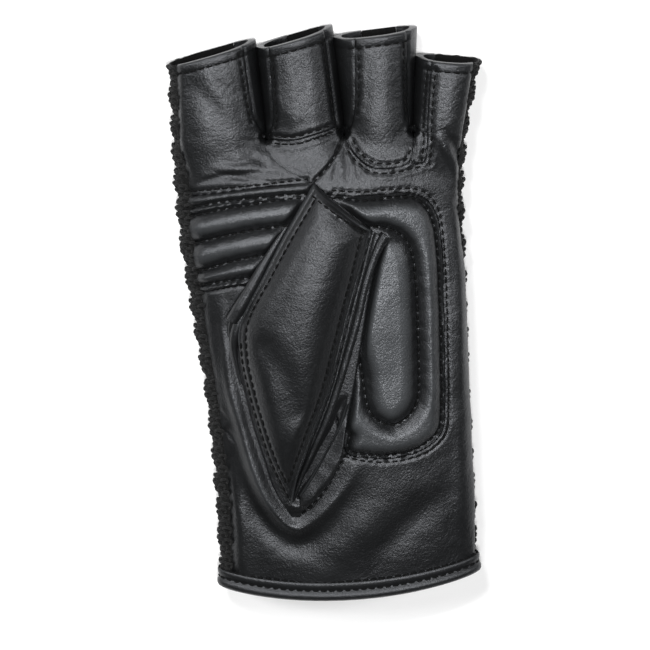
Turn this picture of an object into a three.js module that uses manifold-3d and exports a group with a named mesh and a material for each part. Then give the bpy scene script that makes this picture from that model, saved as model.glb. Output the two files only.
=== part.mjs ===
// Fingerless wheelchair glove for the left hand, lying on its back with the palm up.
// Millimetres. +Z is up out of the palm, +Y points from the wrist to the fingers, the thumb side is at -X.
// The glove is one hollow shell of leather and knit. It is lofted as a hand part and four finger tubes,
// and then cut along its seams into the panels that a glove maker sews together.
import * as THREE from "three";
import { mergeVertices } from "three/addons/utils/BufferGeometryUtils.js";
import Module from "manifold-3d";

const wasm = await Module();
wasm.setup();

// Driving sizes
const WALL = 1.8;
const SEAM_GAP = 0.35;
const PIECE_GAP = 0.3;
const FLOOR = 0;
const ROOF = 60;
const REACH = 8;
const WRIST_Y = -93.8;
const ROOT_Y = 61.5;
const CUFF_WIDTH = 6;
const CUFF_PROUD = 0.8;
const CUFF_INNER = 0.6;
const CUFF_STEPS = 12;
const ORIGIN_SHIFT = { x: -0.22, y: -1.48 };

// Sections of the hand part. left, right: side edges. bottom, top: heights of the back and of the palm.
// seamLeft, seamRight: height of the side seam between leather and knit.
const HAND_SECTIONS = [
  { y: -93.8, left: -33.6, right: 50.6, bottom: 3.4, top: 16.5, seamLeft: 11.4, seamRight: 10.6 },
  { y: -80.0, left: -35.0, right: 50.6, bottom: 3.4, top: 18.0, seamLeft: 12.6, seamRight: 11.2 },
  { y: -60.0, left: -36.0, right: 50.0, bottom: 3.4, top: 20.0, seamLeft: 14.0, seamRight: 12.0 },
  { y: -38.0, left: -37.8, right: 48.6, bottom: 2.8, top: 21.5, seamLeft: 14.8, seamRight: 12.2 },
  { y: -18.0, left: -40.2, right: 47.6, bottom: 2.0, top: 22.2, seamLeft: 15.0, seamRight: 12.0 },
  { y: 0.0, left: -43.2, right: 46.9, bottom: 1.0, top: 22.4, seamLeft: 14.8, seamRight: 11.8 },
  { y: 22.0, left: -46.6, right: 46.2, bottom: 0.2, top: 21.8, seamLeft: 14.4, seamRight: 11.6 },
  { y: 42.0, left: -48.8, right: 45.4, bottom: -0.3, top: 20.2, seamLeft: 13.2, seamRight: 11.6 },
  { y: 61.5, left: -49.8, right: 46.4, bottom: -0.3, top: 17.4, seamLeft: 12.0, seamRight: 11.6 },
];
const HAND_RINGS = 14;
const INNER_RINGS = 11;
const SKIN_RINGS = 8;
const SKIN_END_Y = -5;
const RING_POINTS = 30;
const PALM_ROUNDNESS = 2.3;
const BACK_ROUNDNESS = 3.0;
const MIDDLE_SHARE = 0.42;
const WRIST_BOW = 0.003;
const WRIST_BOW_X = -2;
const BOW_END_Y = -55;

// Finger tubes. Roots and tips are side edges, and the hem runs from hemLeft to hemRight.
const FINGERS = [
  { rootLeft: -48.9, rootRight: -19.4, tipLeft: -51.0, tipRight: -22.9, hemLeft: 84.6, hemRight: 92.6 },
  { rootLeft: -18.6, rootRight: 6.0, tipLeft: -21.5, tipRight: 2.5, hemLeft: 90.4, hemRight: 97.2 },
  { rootLeft: 6.8, rootRight: 28.5, tipLeft: 4.0, tipRight: 29.2, hemLeft: 93.6, hemRight: 96.8 },
  { rootLeft: 29.3, rootRight: 45.2, tipLeft: 30.4, tipRight: 51.0, hemLeft: 87.4, hemRight: 85.8 },
];
const FINGER_START_Y = 47;
const FINGER_BOTTOM = -0.3;
const FINGER_HEIGHT_ROOT = 17.2;
const FINGER_HEIGHT_TIP = 15.4;
const FINGER_ROUNDNESS = 2.4;
const FINGER_RINGS = 5;
const FINGER_POINTS = 18;
const FINGER_SEAM_Z = 12;

// Strips between the fingers. rootX: the crotch. left, right: reach on the back at the tip, from tipX.
const FOURCHETTES = [
  { name: "fourchette_index_middle", rootX: -19.0, tipX: -22.2, left: 10.0, right: 11.4, rootWidth: 6.4 },
  { name: "fourchette_middle_ring", rootX: 6.4, tipX: 3.25, left: 5.8, right: 9.6, rootWidth: 5.0 },
  { name: "fourchette_ring_little", rootX: 28.9, tipX: 29.8, left: 6.8, right: 8.6, rootWidth: 4.6 },
];
const FOURCHETTE_FOOT_Y = 57.5;
const FOURCHETTE_TIP_Y = 104;

// Seams of the palm, as [x, y] in the palm's plan.
const INDEX_SEAM = [[-60, 39], [-44, 42.5], [-20, 46.6], [-4.1, 48.2]];
const DIAGONAL_SEAM = [[-19, 68], [-19, 60.3], [-14.5, 53.5], [-4.1, 48.2]];
const MIDDLE_SEAM = [[-19, 68], [-19, 59.2], [-6, 60.4], [6.4, 62.2], [6.4, 68]];
const STITCH_SEAM = [[6.4, 68], [6.4, 60.5], [1.6, 54], [-3.4, 48.2], [-4.6, 47.0]];
const RING_SEAM = [
  [6.4, 68], [6.4, 61.4], [9.7, 57], [14.8, 52.6], [21.3, 51.2], [27, 53.2], [28.9, 58], [28.9, 68],
];
const PAD_SEAM = [
  [-5.2, 49.4], [-3.6, 46.0], [1.5, 43.6], [14.7, 44], [26.5, 44.6], [33.5, 41], [37.2, 33.2],
  [38.6, 19], [39.3, -1.5], [39.8, -28.9], [38.1, -37.2], [32.2, -43.3], [23.6, -45.4],
  [7.4, -44.1], [7.6, -31.6], [0, -10.8], [-20, 9.4], [-24.4, 14], [-39.8, 11], [-60, 8],
];

// Padding that is quilted into the palm: the line of each roll, with its width and height.
const PAD_ROLLS = [
  { width: 3.4, height: 1.2, path: [[-43.5, 40.4], [-32, 42.2], [-20, 43.2], [-7, 44.0]] },
  { width: 8.6, height: 2.2, path: [[-42, 31.2], [-30, 34.6], [-20, 37.0], [-10, 38.6]] },
  { width: 8.2, height: 2.1, path: [[-40.5, 21.6], [-30, 24.4], [-20.5, 27.4], [-14, 29.2]] },
  { width: 4.6, height: 1.6, path: [[-39.8, 14.4], [-32, 16.4], [-22, 19.2]] },
  {
    width: 7.6,
    height: 1.9,
    path: [
      [4, 38.0], [14.5, 38.6], [25.5, 38.4], [31, 34.6], [34.2, 27], [35.0, 12],
      [35.4, -12], [35.2, -30], [31.6, -37.4], [23.4, -40.2], [14, -38.6], [9.2, -33.4],
    ],
  },
  { width: 16.5, height: 2.6, path: [[20, 29.6], [21.4, 14], [21.6, -2], [21.8, -18], [22, -31]] },
];

// Folds of the loose palm leather: the roll round the thumb's seam and the soft folds that run into it.
const PALM_FOLDS = [
  {
    width: 4.4,
    height: 1.5,
    path: [
      [-30.2, -14], [-26.6, -33], [-23.2, -46], [-19.8, -57], [-15, -66],
      [-9.4, -69], [-3.8, -65.8], [3.4, -57.6], [7.4, -49.6],
    ],
  },
  { width: 6.4, height: 1.3, path: [[-37.2, -1], [-34.4, -13], [-31, -25], [-27.6, -36]] },
  { width: 6.0, height: 0.9, path: [[-29.6, -46], [-28.8, -60], [-27.4, -74], [-26.6, -84]] },
];
const ROLL_POINTS = 5;
const ROLL_STEP = 9;
const ROLL_SINK = 0.5;
const ROLL_DEPTH = 0.6;

// Thumb, a flattened tube sewn into the palm and folded over it, from the tip of its seam to its mouth.
// back: side edges of the panel against the palm. front: side edges of the panel that shows.
// rise: height of the tube.
const THUMB_SECTIONS = [
  { rise: 2.6, front: [[-11.6, -59.6], [-9.6, -58.4]], back: [[-10.6, -64.6], [-8.0, -63.6]] },
  { rise: 4.0, front: [[-15.4, -52.0], [-6.6, -50.4]], back: [[-16.6, -54.6], [0.2, -54.2]] },
  { rise: 5.6, front: [[-18.6, -44.2], [-3.2, -41.6]], back: [[-19.8, -44.6], [5.4, -44.6]] },
  { rise: 7.4, front: [[-22.2, -33.0], [0.6, -31.0]], back: [[-23.4, -33.2], [7.6, -31.4]] },
  { rise: 8.8, front: [[-25.4, -20.6], [4.4, -19.4]], back: [[-26.4, -20.8], [10.0, -18.4]] },
  { rise: 9.6, front: [[-28.4, -8.4], [7.8, -6.2]], back: [[-29.4, -8.8], [12.2, -5.0]] },
  { rise: 10.0, front: [[-29.8, 3.2], [10.4, 7.0]], back: [[-31.2, 2.4], [14.2, 8.0]] },
  { rise: 9.8, front: [[-20.8, 18.6], [12.6, 19.4]], back: [[-21.6, 18.4], [16.4, 19.8]] },
  { rise: 9.7, front: [[-12.4, 33.0], [14.2, 27.6]], back: [[-12.8, 32.6], [18.0, 26.4]] },
  { rise: 9.2, front: [[-3.4, 48.6], [15.4, 33.4]], back: [[-3.0, 47.4], [18.8, 30.2]] },
];
const THUMB_LIFT = 0.45;
const THUMB_EDGE = 2.9;
const THUMB_WALL = 1.35;
const THUMB_LIP = 2.4;
const THUMB_ROUNDNESS = 2.6;
const THUMB_RUNS = 8;
const THUMB_CLEARANCE = 0.4;
const THUMB_PAST_MOUTH = 0.6;
const THUMB_HOLLOW_FROM = 2;
const THUMB_HOLE = { x: -13.5, y: -21, halfWidth: 6.5, halfLength: 19, turn: 0.1, low: 12, high: 24.3 };

// Closure on the back: a domed opening with a bound edge, a tongue behind it and a tab across it.
const CLOSURE = { x: 4.6, y: -35, turn: 0.065, halfWidth: 22, footHalfWidth: 19.6, length: 66 };
const BINDING_WIDTH = 3.2;
const BINDING_PROUD = 1.0;
const TAB = {
  x: 6.4, y: -71.5, turn: -0.14, width: 40, height: 31, corner: 2.5, lift: 1.3, thickness: 2.4,
};
const LOOP_STRIP = {
  x: 7.3, y: -76.5, turn: 0.02, width: 30.5, height: 19, corner: 1, lift: 0.15, thickness: 0.8,
};
const CLOSURE_TOP_Z = 8;
const CLOSURE_DEPTH = 20;
const TONGUE_SINK = 0.2;
const CURVE_SEGMENTS = 8;

// Small tools

const lerp = THREE.MathUtils.lerp;
const signedPower = (value, power) => Math.sign(value) * Math.abs(value) ** power;

// A cubic through a table's rows, read at y, for every column but y.
function sectionAt(rows, y) {
  let i = 0;
  while (i < rows.length - 2 && y > rows[i + 1].y) i += 1;
  const [a, b] = [rows[i], rows[i + 1]];
  const [before, after] = [rows[Math.max(i - 1, 0)], rows[Math.min(i + 2, rows.length - 1)]];
  const span = b.y - a.y;
  const t = THREE.MathUtils.clamp((y - a.y) / span, 0, 1);
  const slope = (p, q, column) => (q.y === p.y ? 0 : ((q[column] - p[column]) / (q.y - p.y)) * span);
  const section = { y };
  for (const column of Object.keys(a)) {
    if (column === "y") continue;
    const [m0, m1] = [slope(before, b, column), slope(a, after, column)];
    section[column] =
      (2 * t ** 3 - 3 * t ** 2 + 1) * a[column] +
      (t ** 3 - 2 * t ** 2 + t) * m0 +
      (3 * t ** 2 - 2 * t ** 3) * b[column] +
      (t ** 3 - t ** 2) * m1;
  }
  return section;
}

// A closed ring in the XZ plane: flat-bottomed below its middle height and domed above it.
function ovalRing(points, oval, yOf) {
  const centre = (oval.left + oval.right) / 2;
  const half = (oval.right - oval.left) / 2;
  const middle = lerp(oval.bottom, oval.top, MIDDLE_SHARE);
  return Array.from({ length: points }, (_, i) => {
    const angle = ((i + 0.5) / points) * 2 * Math.PI;
    const [c, s] = [Math.cos(angle), Math.sin(angle)];
    const roundness = s > 0 ? oval.palmRoundness : oval.backRoundness;
    const reach = s > 0 ? oval.top - middle : middle - oval.bottom;
    const x = centre + half * signedPower(c, 2 / roundness);
    return new THREE.Vector3(x, yOf(x), middle + reach * signedPower(s, 2 / roundness));
  });
}

// A closed body through rings of equal count, capped at both ends.
function loft(rings) {
  const count = rings[0].length;
  const positions = rings.flat().flatMap((p) => [p.x, p.y, p.z]);
  const index = [];
  for (let r = 0; r + 1 < rings.length; r += 1) {
    for (let i = 0; i < count; i += 1) {
      const [a, b] = [r * count + i, r * count + ((i + 1) % count)];
      index.push(a, b, a + count, b, b + count, a + count);
    }
  }
  for (const [ring, turned] of [[0, true], [rings.length - 1, false]]) {
    const centre = new THREE.Vector3();
    rings[ring].forEach((p) => centre.addScaledVector(p, 1 / count));
    const hub = positions.length / 3;
    positions.push(centre.x, centre.y, centre.z);
    for (let i = 0; i < count; i += 1) {
      const [a, b] = [ring * count + i, ring * count + ((i + 1) % count)];
      index.push(hub, turned ? b : a, turned ? a : b);
    }
  }
  const geometry = new THREE.BufferGeometry();
  geometry.setAttribute("position", new THREE.Float32BufferAttribute(positions, 3));
  geometry.setIndex(index);
  return geometry;
}

function solidOf(geometry) {
  const bare = geometry.clone();
  bare.deleteAttribute("normal");
  bare.deleteAttribute("uv");
  const merged = mergeVertices(bare, 1e-4);
  const made = (flip) => {
    const triVerts = new Uint32Array(merged.index.array);
    if (flip) {
      for (let i = 0; i < triVerts.length; i += 3) {
        [triVerts[i + 1], triVerts[i + 2]] = [triVerts[i + 2], triVerts[i + 1]];
      }
    }
    const vertProperties = new Float32Array(merged.attributes.position.array);
    return new wasm.Manifold(new wasm.Mesh({ numProp: 3, vertProperties, triVerts }));
  };
  const solid = made(false);
  return solid.volume() > 0 ? solid : made(true);
}

function geometryOf(solid) {
  const mesh = solid.getMesh();
  const positions = [];
  for (let i = 0; i < mesh.numVert; i += 1) {
    positions.push(...mesh.vertProperties.subarray(i * mesh.numProp, i * mesh.numProp + 3));
  }
  const geometry = new THREE.BufferGeometry();
  geometry.setAttribute("position", new THREE.Float32BufferAttribute(positions, 3));
  geometry.setIndex(new THREE.BufferAttribute(new Uint32Array(mesh.triVerts), 1));
  geometry.computeVertexNormals();
  return geometry;
}

// An upright prism of a plan outline between two heights.
function prism(shape, low, high) {
  const settings = { depth: high - low, bevelEnabled: false, curveSegments: CURVE_SEGMENTS };
  return solidOf(new THREE.ExtrudeGeometry(shape, settings).translate(0, 0, low));
}

const shapeOf = (points) => new THREE.Shape(points.map(([x, y]) => new THREE.Vector2(x, y)));
const squareAt = (x, y, half) =>
  shapeOf([[x - half, y - half], [x + half, y - half], [x + half, y + half], [x - half, y + half]]);
const addAll = (solids) => solids.reduce((all, solid) => all.add(solid));
const larger = (a, b) => (b.volume() > a.volume() ? b : a);
const largestOf = (solid) => solid.decompose().reduce(larger);

// The two sides of a line of points, half a width away.
function sidesOf(points, width) {
  const line = points.map(([x, y]) => new THREE.Vector2(x, y));
  const sides = line.map((p, i) => {
    const along = line[Math.min(i + 1, line.length - 1)].clone().sub(line[Math.max(i - 1, 0)]).normalize();
    const across = new THREE.Vector2(-along.y, along.x).multiplyScalar(width / 2);
    return [p.clone().add(across), p.clone().sub(across)];
  });
  return [sides.map((s) => s[0]), sides.map((s) => s[1])];
}

// A thin upright blade along a seam.
function blade(points) {
  const [left, right] = sidesOf(points, SEAM_GAP);
  return prism(new THREE.Shape([...left, ...right.reverse()]), FLOOR - REACH, ROOF);
}

// The hand and its fingers

const wristBow = (x) => WRIST_BOW * (x - WRIST_BOW_X) ** 2;

function handRing(y, grow) {
  const section = sectionAt(HAND_SECTIONS, y);
  const bowShare = THREE.MathUtils.clamp((BOW_END_Y - y) / (BOW_END_Y - WRIST_Y), 0, 1);
  const oval = {
    left: section.left - grow,
    right: section.right + grow,
    bottom: section.bottom - grow,
    top: section.top + grow,
    palmRoundness: PALM_ROUNDNESS,
    backRoundness: BACK_ROUNDNESS,
  };
  return ovalRing(RING_POINTS, oval, (x) => y + bowShare * wristBow(x));
}

// The hand part grown by a distance, from startY to endY.
function handPart(grow, startY, endY, rings) {
  const ringAt = (_, i) => handRing(lerp(startY, endY, i / (rings - 1)), grow);
  return solidOf(loft(Array.from({ length: rings }, ringAt)));
}

// Height of the palm's outer face over a point of its plan.
function palmHeight(x, y) {
  const { left, right, bottom, top } = sectionAt(HAND_SECTIONS, y);
  const middle = lerp(bottom, top, MIDDLE_SHARE);
  const share = Math.min(Math.abs((2 * x - left - right) / (right - left)), 1);
  return middle + (top - middle) * (1 - share ** PALM_ROUNDNESS) ** (1 / PALM_ROUNDNESS);
}

// One finger grown by a distance, with its hem moved outwards.
function fingerTube(finger, grow, pastHem) {
  const hem = (x) =>
    THREE.MathUtils.mapLinear(x, finger.tipLeft, finger.tipRight, finger.hemLeft, finger.hemRight) + pastHem;
  const ringAt = (_, i) => {
    const share = i / (FINGER_RINGS - 1);
    const oval = {
      left: lerp(finger.rootLeft, finger.tipLeft, share) - grow,
      right: lerp(finger.rootRight, finger.tipRight, share) + grow,
      bottom: FINGER_BOTTOM - grow,
      top: lerp(FINGER_HEIGHT_ROOT, FINGER_HEIGHT_TIP, share) + grow,
      palmRoundness: FINGER_ROUNDNESS,
      backRoundness: FINGER_ROUNDNESS,
    };
    return ovalRing(FINGER_POINTS, oval, (x) => lerp(FINGER_START_Y, hem(x), share));
  };
  return solidOf(loft(Array.from({ length: FINGER_RINGS }, ringAt)));
}

const outside = addAll([
  handPart(0, WRIST_Y, ROOT_Y, HAND_RINGS),
  ...FINGERS.map((finger) => fingerTube(finger, 0, 0)),
]);
const inside = addAll([
  handPart(-WALL, WRIST_Y - REACH, ROOT_Y - WALL, INNER_RINGS),
  ...FINGERS.map((finger) => fingerTube(finger, -WALL, REACH)),
]);
const aboveFloor = prism(squareAt(0, 0, 2 * ROOF), FLOOR, ROOF);

// Everything at the wrist below a line that runs parallel to its bowed edge.
function cuffZone(width) {
  const edge = Array.from({ length: CUFF_STEPS + 1 }, (_, i) => {
    const x = lerp(-ROOF, ROOF, i / CUFF_STEPS);
    return [x, WRIST_Y + width + wristBow(x)];
  });
  return prism(shapeOf([...edge, [ROOF, WRIST_Y - REACH], [-ROOF, WRIST_Y - REACH]]), FLOOR - REACH, ROOF);
}

const cuffClear = cuffZone(CUFF_WIDTH + SEAM_GAP);
const shell = outside.subtract(inside).intersect(aboveFloor).subtract(cuffClear);

// Everything above the side seams, lowered by a distance.
function aboveSeam(drop) {
  const rowYs = [WRIST_Y - REACH, ...HAND_SECTIONS.slice(1).map((section) => section.y), FOURCHETTE_TIP_Y];
  const rings = rowYs.map((y) => {
    const { seamLeft, seamRight } = sectionAt(HAND_SECTIONS, THREE.MathUtils.clamp(y, WRIST_Y, ROOT_Y));
    return [
      new THREE.Vector3(-ROOF, y, seamLeft - drop),
      new THREE.Vector3(ROOF, y, seamRight - drop),
      new THREE.Vector3(ROOF, y, ROOF),
      new THREE.Vector3(-ROOF, y, ROOF),
    ];
  });
  return solidOf(loft(rings));
}

// Palm panels: the leather above the side seams, cut along the palm's seams.

const palmShell = shell.intersect(aboveSeam(0));
const seams = [INDEX_SEAM, DIAGONAL_SEAM, MIDDLE_SEAM, STITCH_SEAM, RING_SEAM, PAD_SEAM].map(blade);

// One ring of a thumb solid. side: front or back. inset: distance in from the side edges.
// low: height of its underside over the palm. high: height of its top, worked out from the tube's own top.
function thumbRing(section, part) {
  const [from, to] = section[part.side];
  const length = Math.hypot(to[0] - from[0], to[1] - from[1]);
  const at = (u) => {
    const share = (u * (1 - (2 * part.inset) / length) + 1) / 2;
    return [lerp(from[0], to[0], share), lerp(from[1], to[1], share)];
  };
  const runs = Array.from({ length: THUMB_RUNS + 1 }, (_, i) => (2 * i) / THUMB_RUNS - 1);
  const point = (u, z) => {
    const [x, y] = at(u);
    return new THREE.Vector3(x, y, palmHeight(x, y) + THUMB_LIFT + z);
  };
  const crown = Math.max(section.rise - THUMB_EDGE, 0);
  const dome = (u) => THUMB_EDGE + crown * (1 - Math.abs(u) ** THUMB_ROUNDNESS);
  const low = runs.map((u) => point(u, part.low));
  const high = runs.map((u) => point(u, part.high(dome(u)))).reverse();
  return [...low, ...high];
}

const thumbPart = (part, rows = THUMB_SECTIONS) =>
  solidOf(loft(rows.map((section) => thumbRing(section, part))));

// The hollow of the thumb starts past the tip of its seam and is carried on past its mouth.
const [beforeMouth, mouth] = THUMB_SECTIONS.slice(-2);
const pastMouth = mouth.front.map(([x, y], i) => {
  const [fromX, fromY] = beforeMouth.front[i];
  return [x + (x - fromX) * THUMB_PAST_MOUTH, y + (y - fromY) * THUMB_PAST_MOUTH];
});
const hollowRows = [...THUMB_SECTIONS.slice(THUMB_HOLLOW_FROM), { ...mouth, front: pastMouth }];

const holeShape = new THREE.Shape();
const { x: holeX, y: holeY, halfWidth, halfLength, turn: holeTurn } = THUMB_HOLE;
holeShape.absellipse(holeX, holeY, halfWidth, halfLength, 0, 2 * Math.PI, false, holeTurn);
const thumbHole = prism(holeShape, THUMB_HOLE.low, THUMB_HOLE.high);

const thumbBack = thumbPart({ side: "back", inset: 0, low: 0, high: () => THUMB_WALL }).subtract(thumbHole);
const thumbOuter = thumbPart({ side: "front", inset: 0, low: THUMB_WALL + PIECE_GAP, high: (top) => top });
const hollowHigh = (top) => Math.max(top - THUMB_WALL, 0);
const thumbHollow = thumbPart({ side: "front", inset: THUMB_LIP, low: -1, high: hollowHigh }, hollowRows);
const thumbFront = thumbOuter.subtract(thumbHollow);
const clearLow = -THUMB_CLEARANCE / 4;
const thumbClear = thumbPart({ side: "back", inset: -THUMB_CLEARANCE, low: clearLow, high: () => REACH });

// A roll on the palm: a low arch along its path, sunk a little into the leather.
function roll({ path, width, height }) {
  const curve = new THREE.CatmullRomCurve3(path.map(([x, y]) => new THREE.Vector3(x, y, 0)));
  const steps = Math.round(curve.getLength() / ROLL_STEP) + 1;
  const rings = Array.from({ length: steps + 1 }, (_, i) => {
    const centre = curve.getPoint(i / steps);
    const along = curve.getTangent(i / steps);
    const arch = Array.from({ length: ROLL_POINTS + 2 }, (_, k) => {
      const angle = (k / (ROLL_POINTS + 1)) * Math.PI;
      const [across, up] = [(Math.cos(angle) * width) / 2, Math.sin(angle) * height];
      const [x, y] = [centre.x - along.y * across, centre.y + along.x * across];
      return new THREE.Vector3(x, y, palmHeight(x, y) + up - ROLL_SINK);
    });
    const [first, last] = [arch[0].clone(), arch.at(-1).clone()];
    first.z -= ROLL_DEPTH;
    last.z -= ROLL_DEPTH;
    return [...arch, last, first];
  });
  return solidOf(loft(rings));
}

const allSeams = addAll(seams);
const palmPieces = palmShell.subtract(allSeams).subtract(thumbHole).decompose();

// The palm piece with the most material over a point of the plan.
function palmPiece(x, y) {
  const probe = prism(squareAt(x, y, WALL), FLOOR, ROOF);
  const share = (piece) => piece.intersect(probe).volume();
  return palmPieces.reduce((best, piece) => (share(piece) > share(best) ? piece : best));
}

const withRolls = (piece, rows) =>
  largestOf(piece.add(addAll(rows.map(roll))).subtract(allSeams).subtract(thumbClear));
const palmPad = withRolls(palmPiece(20, 20), PAD_ROLLS);
const palmMain = withRolls(palmPiece(20, -70), PALM_FOLDS);

// The back: knit, with the leather strips between the fingers and the opening for the closure cut out of it.

function fourchetteShape({ rootX, tipX, left, right, rootWidth }, grow) {
  return shapeOf([
    [rootX - rootWidth / 2 - grow, FOURCHETTE_FOOT_Y - grow],
    [rootX + rootWidth / 2 + grow, FOURCHETTE_FOOT_Y - grow],
    [tipX + right + grow, FOURCHETTE_TIP_Y],
    [tipX - left - grow, FOURCHETTE_TIP_Y],
  ]);
}

function domeShape(inset) {
  const half = CLOSURE.halfWidth - inset;
  const foot = CLOSURE.footHalfWidth - inset;
  const shape = new THREE.Shape();
  shape.moveTo(-foot, -CLOSURE.length);
  shape.lineTo(foot, -CLOSURE.length);
  shape.lineTo(half, 0);
  shape.absarc(0, 0, half, 0, Math.PI, false);
  shape.lineTo(-foot, -CLOSURE.length);
  return shape;
}

function platedShape({ width, height, corner }) {
  const [w, h] = [width / 2, height / 2];
  const shape = new THREE.Shape();
  shape.absarc(w - corner, h - corner, corner, 0, Math.PI / 2, false);
  shape.absarc(corner - w, h - corner, corner, Math.PI / 2, Math.PI, false);
  shape.absarc(corner - w, corner - h, corner, Math.PI, 1.5 * Math.PI, false);
  shape.absarc(w - corner, corner - h, corner, 1.5 * Math.PI, 2 * Math.PI, false);
  return shape;
}

// A prism on the back, turned and moved to its place in the plan.
function backPrism(shape, { x, y, turn }) {
  const settings = { depth: CLOSURE_DEPTH, bevelEnabled: false, curveSegments: CURVE_SEGMENTS };
  const geometry = new THREE.ExtrudeGeometry(shape, settings);
  return solidOf(geometry.translate(0, 0, CLOSURE_TOP_Z - CLOSURE_DEPTH).rotateZ(turn).translate(x, y, 0));
}

// A layer of the hand's skin between two distances from its outer face.
function skinLayer(low, high) {
  const outer = handPart(high, WRIST_Y, SKIN_END_Y, SKIN_RINGS);
  const inner = handPart(low, WRIST_Y - WALL, SKIN_END_Y + REACH, SKIN_RINGS);
  return outer.subtract(inner).subtract(cuffClear);
}

const backShell = shell.subtract(aboveSeam(SEAM_GAP));
const wedge = (row, grow, top) => prism(fourchetteShape(row, grow), FLOOR - REACH, top);
const fourchettes = FOURCHETTES.map((row) => backShell.intersect(wedge(row, 0, FINGER_SEAM_Z - SEAM_GAP)));
const wedgesClear = addAll(FOURCHETTES.map((row) => wedge(row, SEAM_GAP, FINGER_SEAM_Z + SEAM_GAP)));
const domePrism = (inset) => backPrism(domeShape(inset), CLOSURE);
const knitBack = largestOf(backShell.subtract(wedgesClear).subtract(domePrism(-PIECE_GAP)));

const bindingRing = domePrism(0).subtract(domePrism(BINDING_WIDTH));
const closureBinding = skinLayer(-WALL, BINDING_PROUD).intersect(bindingRing);
const closureTongue = skinLayer(-WALL, -TONGUE_SINK).intersect(domePrism(BINDING_WIDTH + PIECE_GAP));
const plateLayer = (plate) =>
  skinLayer(plate.lift, plate.lift + plate.thickness).intersect(backPrism(platedShape(plate), plate));
const loopStrip = plateLayer(LOOP_STRIP);
const closureTab = plateLayer(TAB).intersect(aboveFloor);

// The rolled binding round the wrist opening.
const cuffBinding = handPart(CUFF_PROUD, WRIST_Y - CUFF_PROUD / 2, WRIST_Y + CUFF_WIDTH + REACH, 3)
  .subtract(handPart(-WALL - CUFF_INNER, WRIST_Y - REACH, WRIST_Y + CUFF_WIDTH + 2 * REACH, 3))
  .intersect(cuffZone(CUFF_WIDTH))
  .intersect(aboveFloor);

// Finishes

const finish = (color, roughness) => new THREE.MeshStandardMaterial({ color, roughness, metalness: 0 });
const leather = finish(0x1b1b1d, 0.42);
const strapLeather = finish(0x222224, 0.4);
const knit = finish(0x0d0d0e, 0.95);
const loopTape = finish(0x101011, 1.0);

const PIECES = [
  ["knit_back", knitBack, knit],
  ["index_front", palmPiece(-35, 60), leather],
  ["middle_front", palmPiece(-8, 75), leather],
  ["ring_front", palmPiece(17, 75), leather],
  ["palm_triangle", palmPiece(-5, 55), leather],
  ["palm_main", palmMain, leather],
  ["palm_pad", palmPad, leather],
  ["thumb_front", thumbFront, leather],
  ["thumb_back", thumbBack, leather],
  ...FOURCHETTES.map((row, i) => [row.name, fourchettes[i], leather]),
  ["cuff_binding", cuffBinding, leather],
  ["closure_binding", closureBinding, strapLeather],
  ["closure_tongue", closureTongue, strapLeather],
  ["loop_strip", loopStrip, loopTape],
  ["closure_tab", closureTab, strapLeather],
];

const glove = new THREE.Group();
for (const [name, solid, material] of PIECES) {
  const mesh = new THREE.Mesh(geometryOf(solid), material);
  mesh.name = name;
  glove.add(mesh);
}
glove.position.set(ORIGIN_SHIFT.x, ORIGIN_SHIFT.y, -FLOOR);

export default glove;
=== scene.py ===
import math
from functools import partial

import bpy
import numpy as np
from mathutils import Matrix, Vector


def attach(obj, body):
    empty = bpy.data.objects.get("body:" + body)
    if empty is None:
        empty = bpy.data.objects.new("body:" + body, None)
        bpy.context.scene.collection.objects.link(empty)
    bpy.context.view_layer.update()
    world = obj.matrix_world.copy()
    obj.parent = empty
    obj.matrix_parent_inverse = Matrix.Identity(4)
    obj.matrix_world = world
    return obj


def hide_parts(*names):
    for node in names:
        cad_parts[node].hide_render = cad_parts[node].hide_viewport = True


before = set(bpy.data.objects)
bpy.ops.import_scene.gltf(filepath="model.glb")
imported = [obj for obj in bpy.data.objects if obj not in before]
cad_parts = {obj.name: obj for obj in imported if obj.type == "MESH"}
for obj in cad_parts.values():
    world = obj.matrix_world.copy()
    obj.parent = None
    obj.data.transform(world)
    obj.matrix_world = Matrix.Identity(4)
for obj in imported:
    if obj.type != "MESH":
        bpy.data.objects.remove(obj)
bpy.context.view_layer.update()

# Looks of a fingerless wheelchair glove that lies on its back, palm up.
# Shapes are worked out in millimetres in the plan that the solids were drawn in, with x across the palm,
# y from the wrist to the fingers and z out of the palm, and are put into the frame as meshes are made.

MM = 0.001
PLAN_SHIFT = np.array([-0.22, -1.48, 0.0])
FLOOR_Z = 0.02

# Sections of the hand: side edges, heights of the back and of the palm, heights of the two side seams
HAND_COLUMNS = ("left", "right", "bottom", "top", "seam_left", "seam_right")
HAND_SECTIONS = [
    (-93.8, -33.6, 50.6, 3.4, 16.5, 12.2, 10.0),
    (-80.0, -35.0, 50.6, 3.4, 18.0, 13.6, 10.2),
    (-60.0, -36.0, 50.0, 3.4, 20.0, 15.2, 10.6),
    (-38.0, -37.8, 48.6, 2.8, 21.5, 16.0, 10.8),
    (-18.0, -40.2, 47.6, 2.0, 22.2, 16.3, 10.8),
    (0.0, -43.2, 46.9, 1.0, 22.4, 16.2, 10.8),
    (22.0, -46.6, 46.2, 0.2, 21.8, 15.8, 10.8),
    (42.0, -48.8, 45.4, -0.3, 20.2, 14.4, 11.6),
    (61.5, -49.8, 46.4, -0.3, 17.4, 12.8, 12.4),
]
MIDDLE_SHARE = 0.42
PALM_ROUNDNESS = 2.3
BACK_ROUNDNESS = 3.0
FINGER_ROUNDNESS = 2.4
WRIST_Y = -93.8
WRIST_BOW = 0.003
WRIST_BOW_X = -2.0
ROOT_Y = 61.5
LEATHER = 1.5

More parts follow.
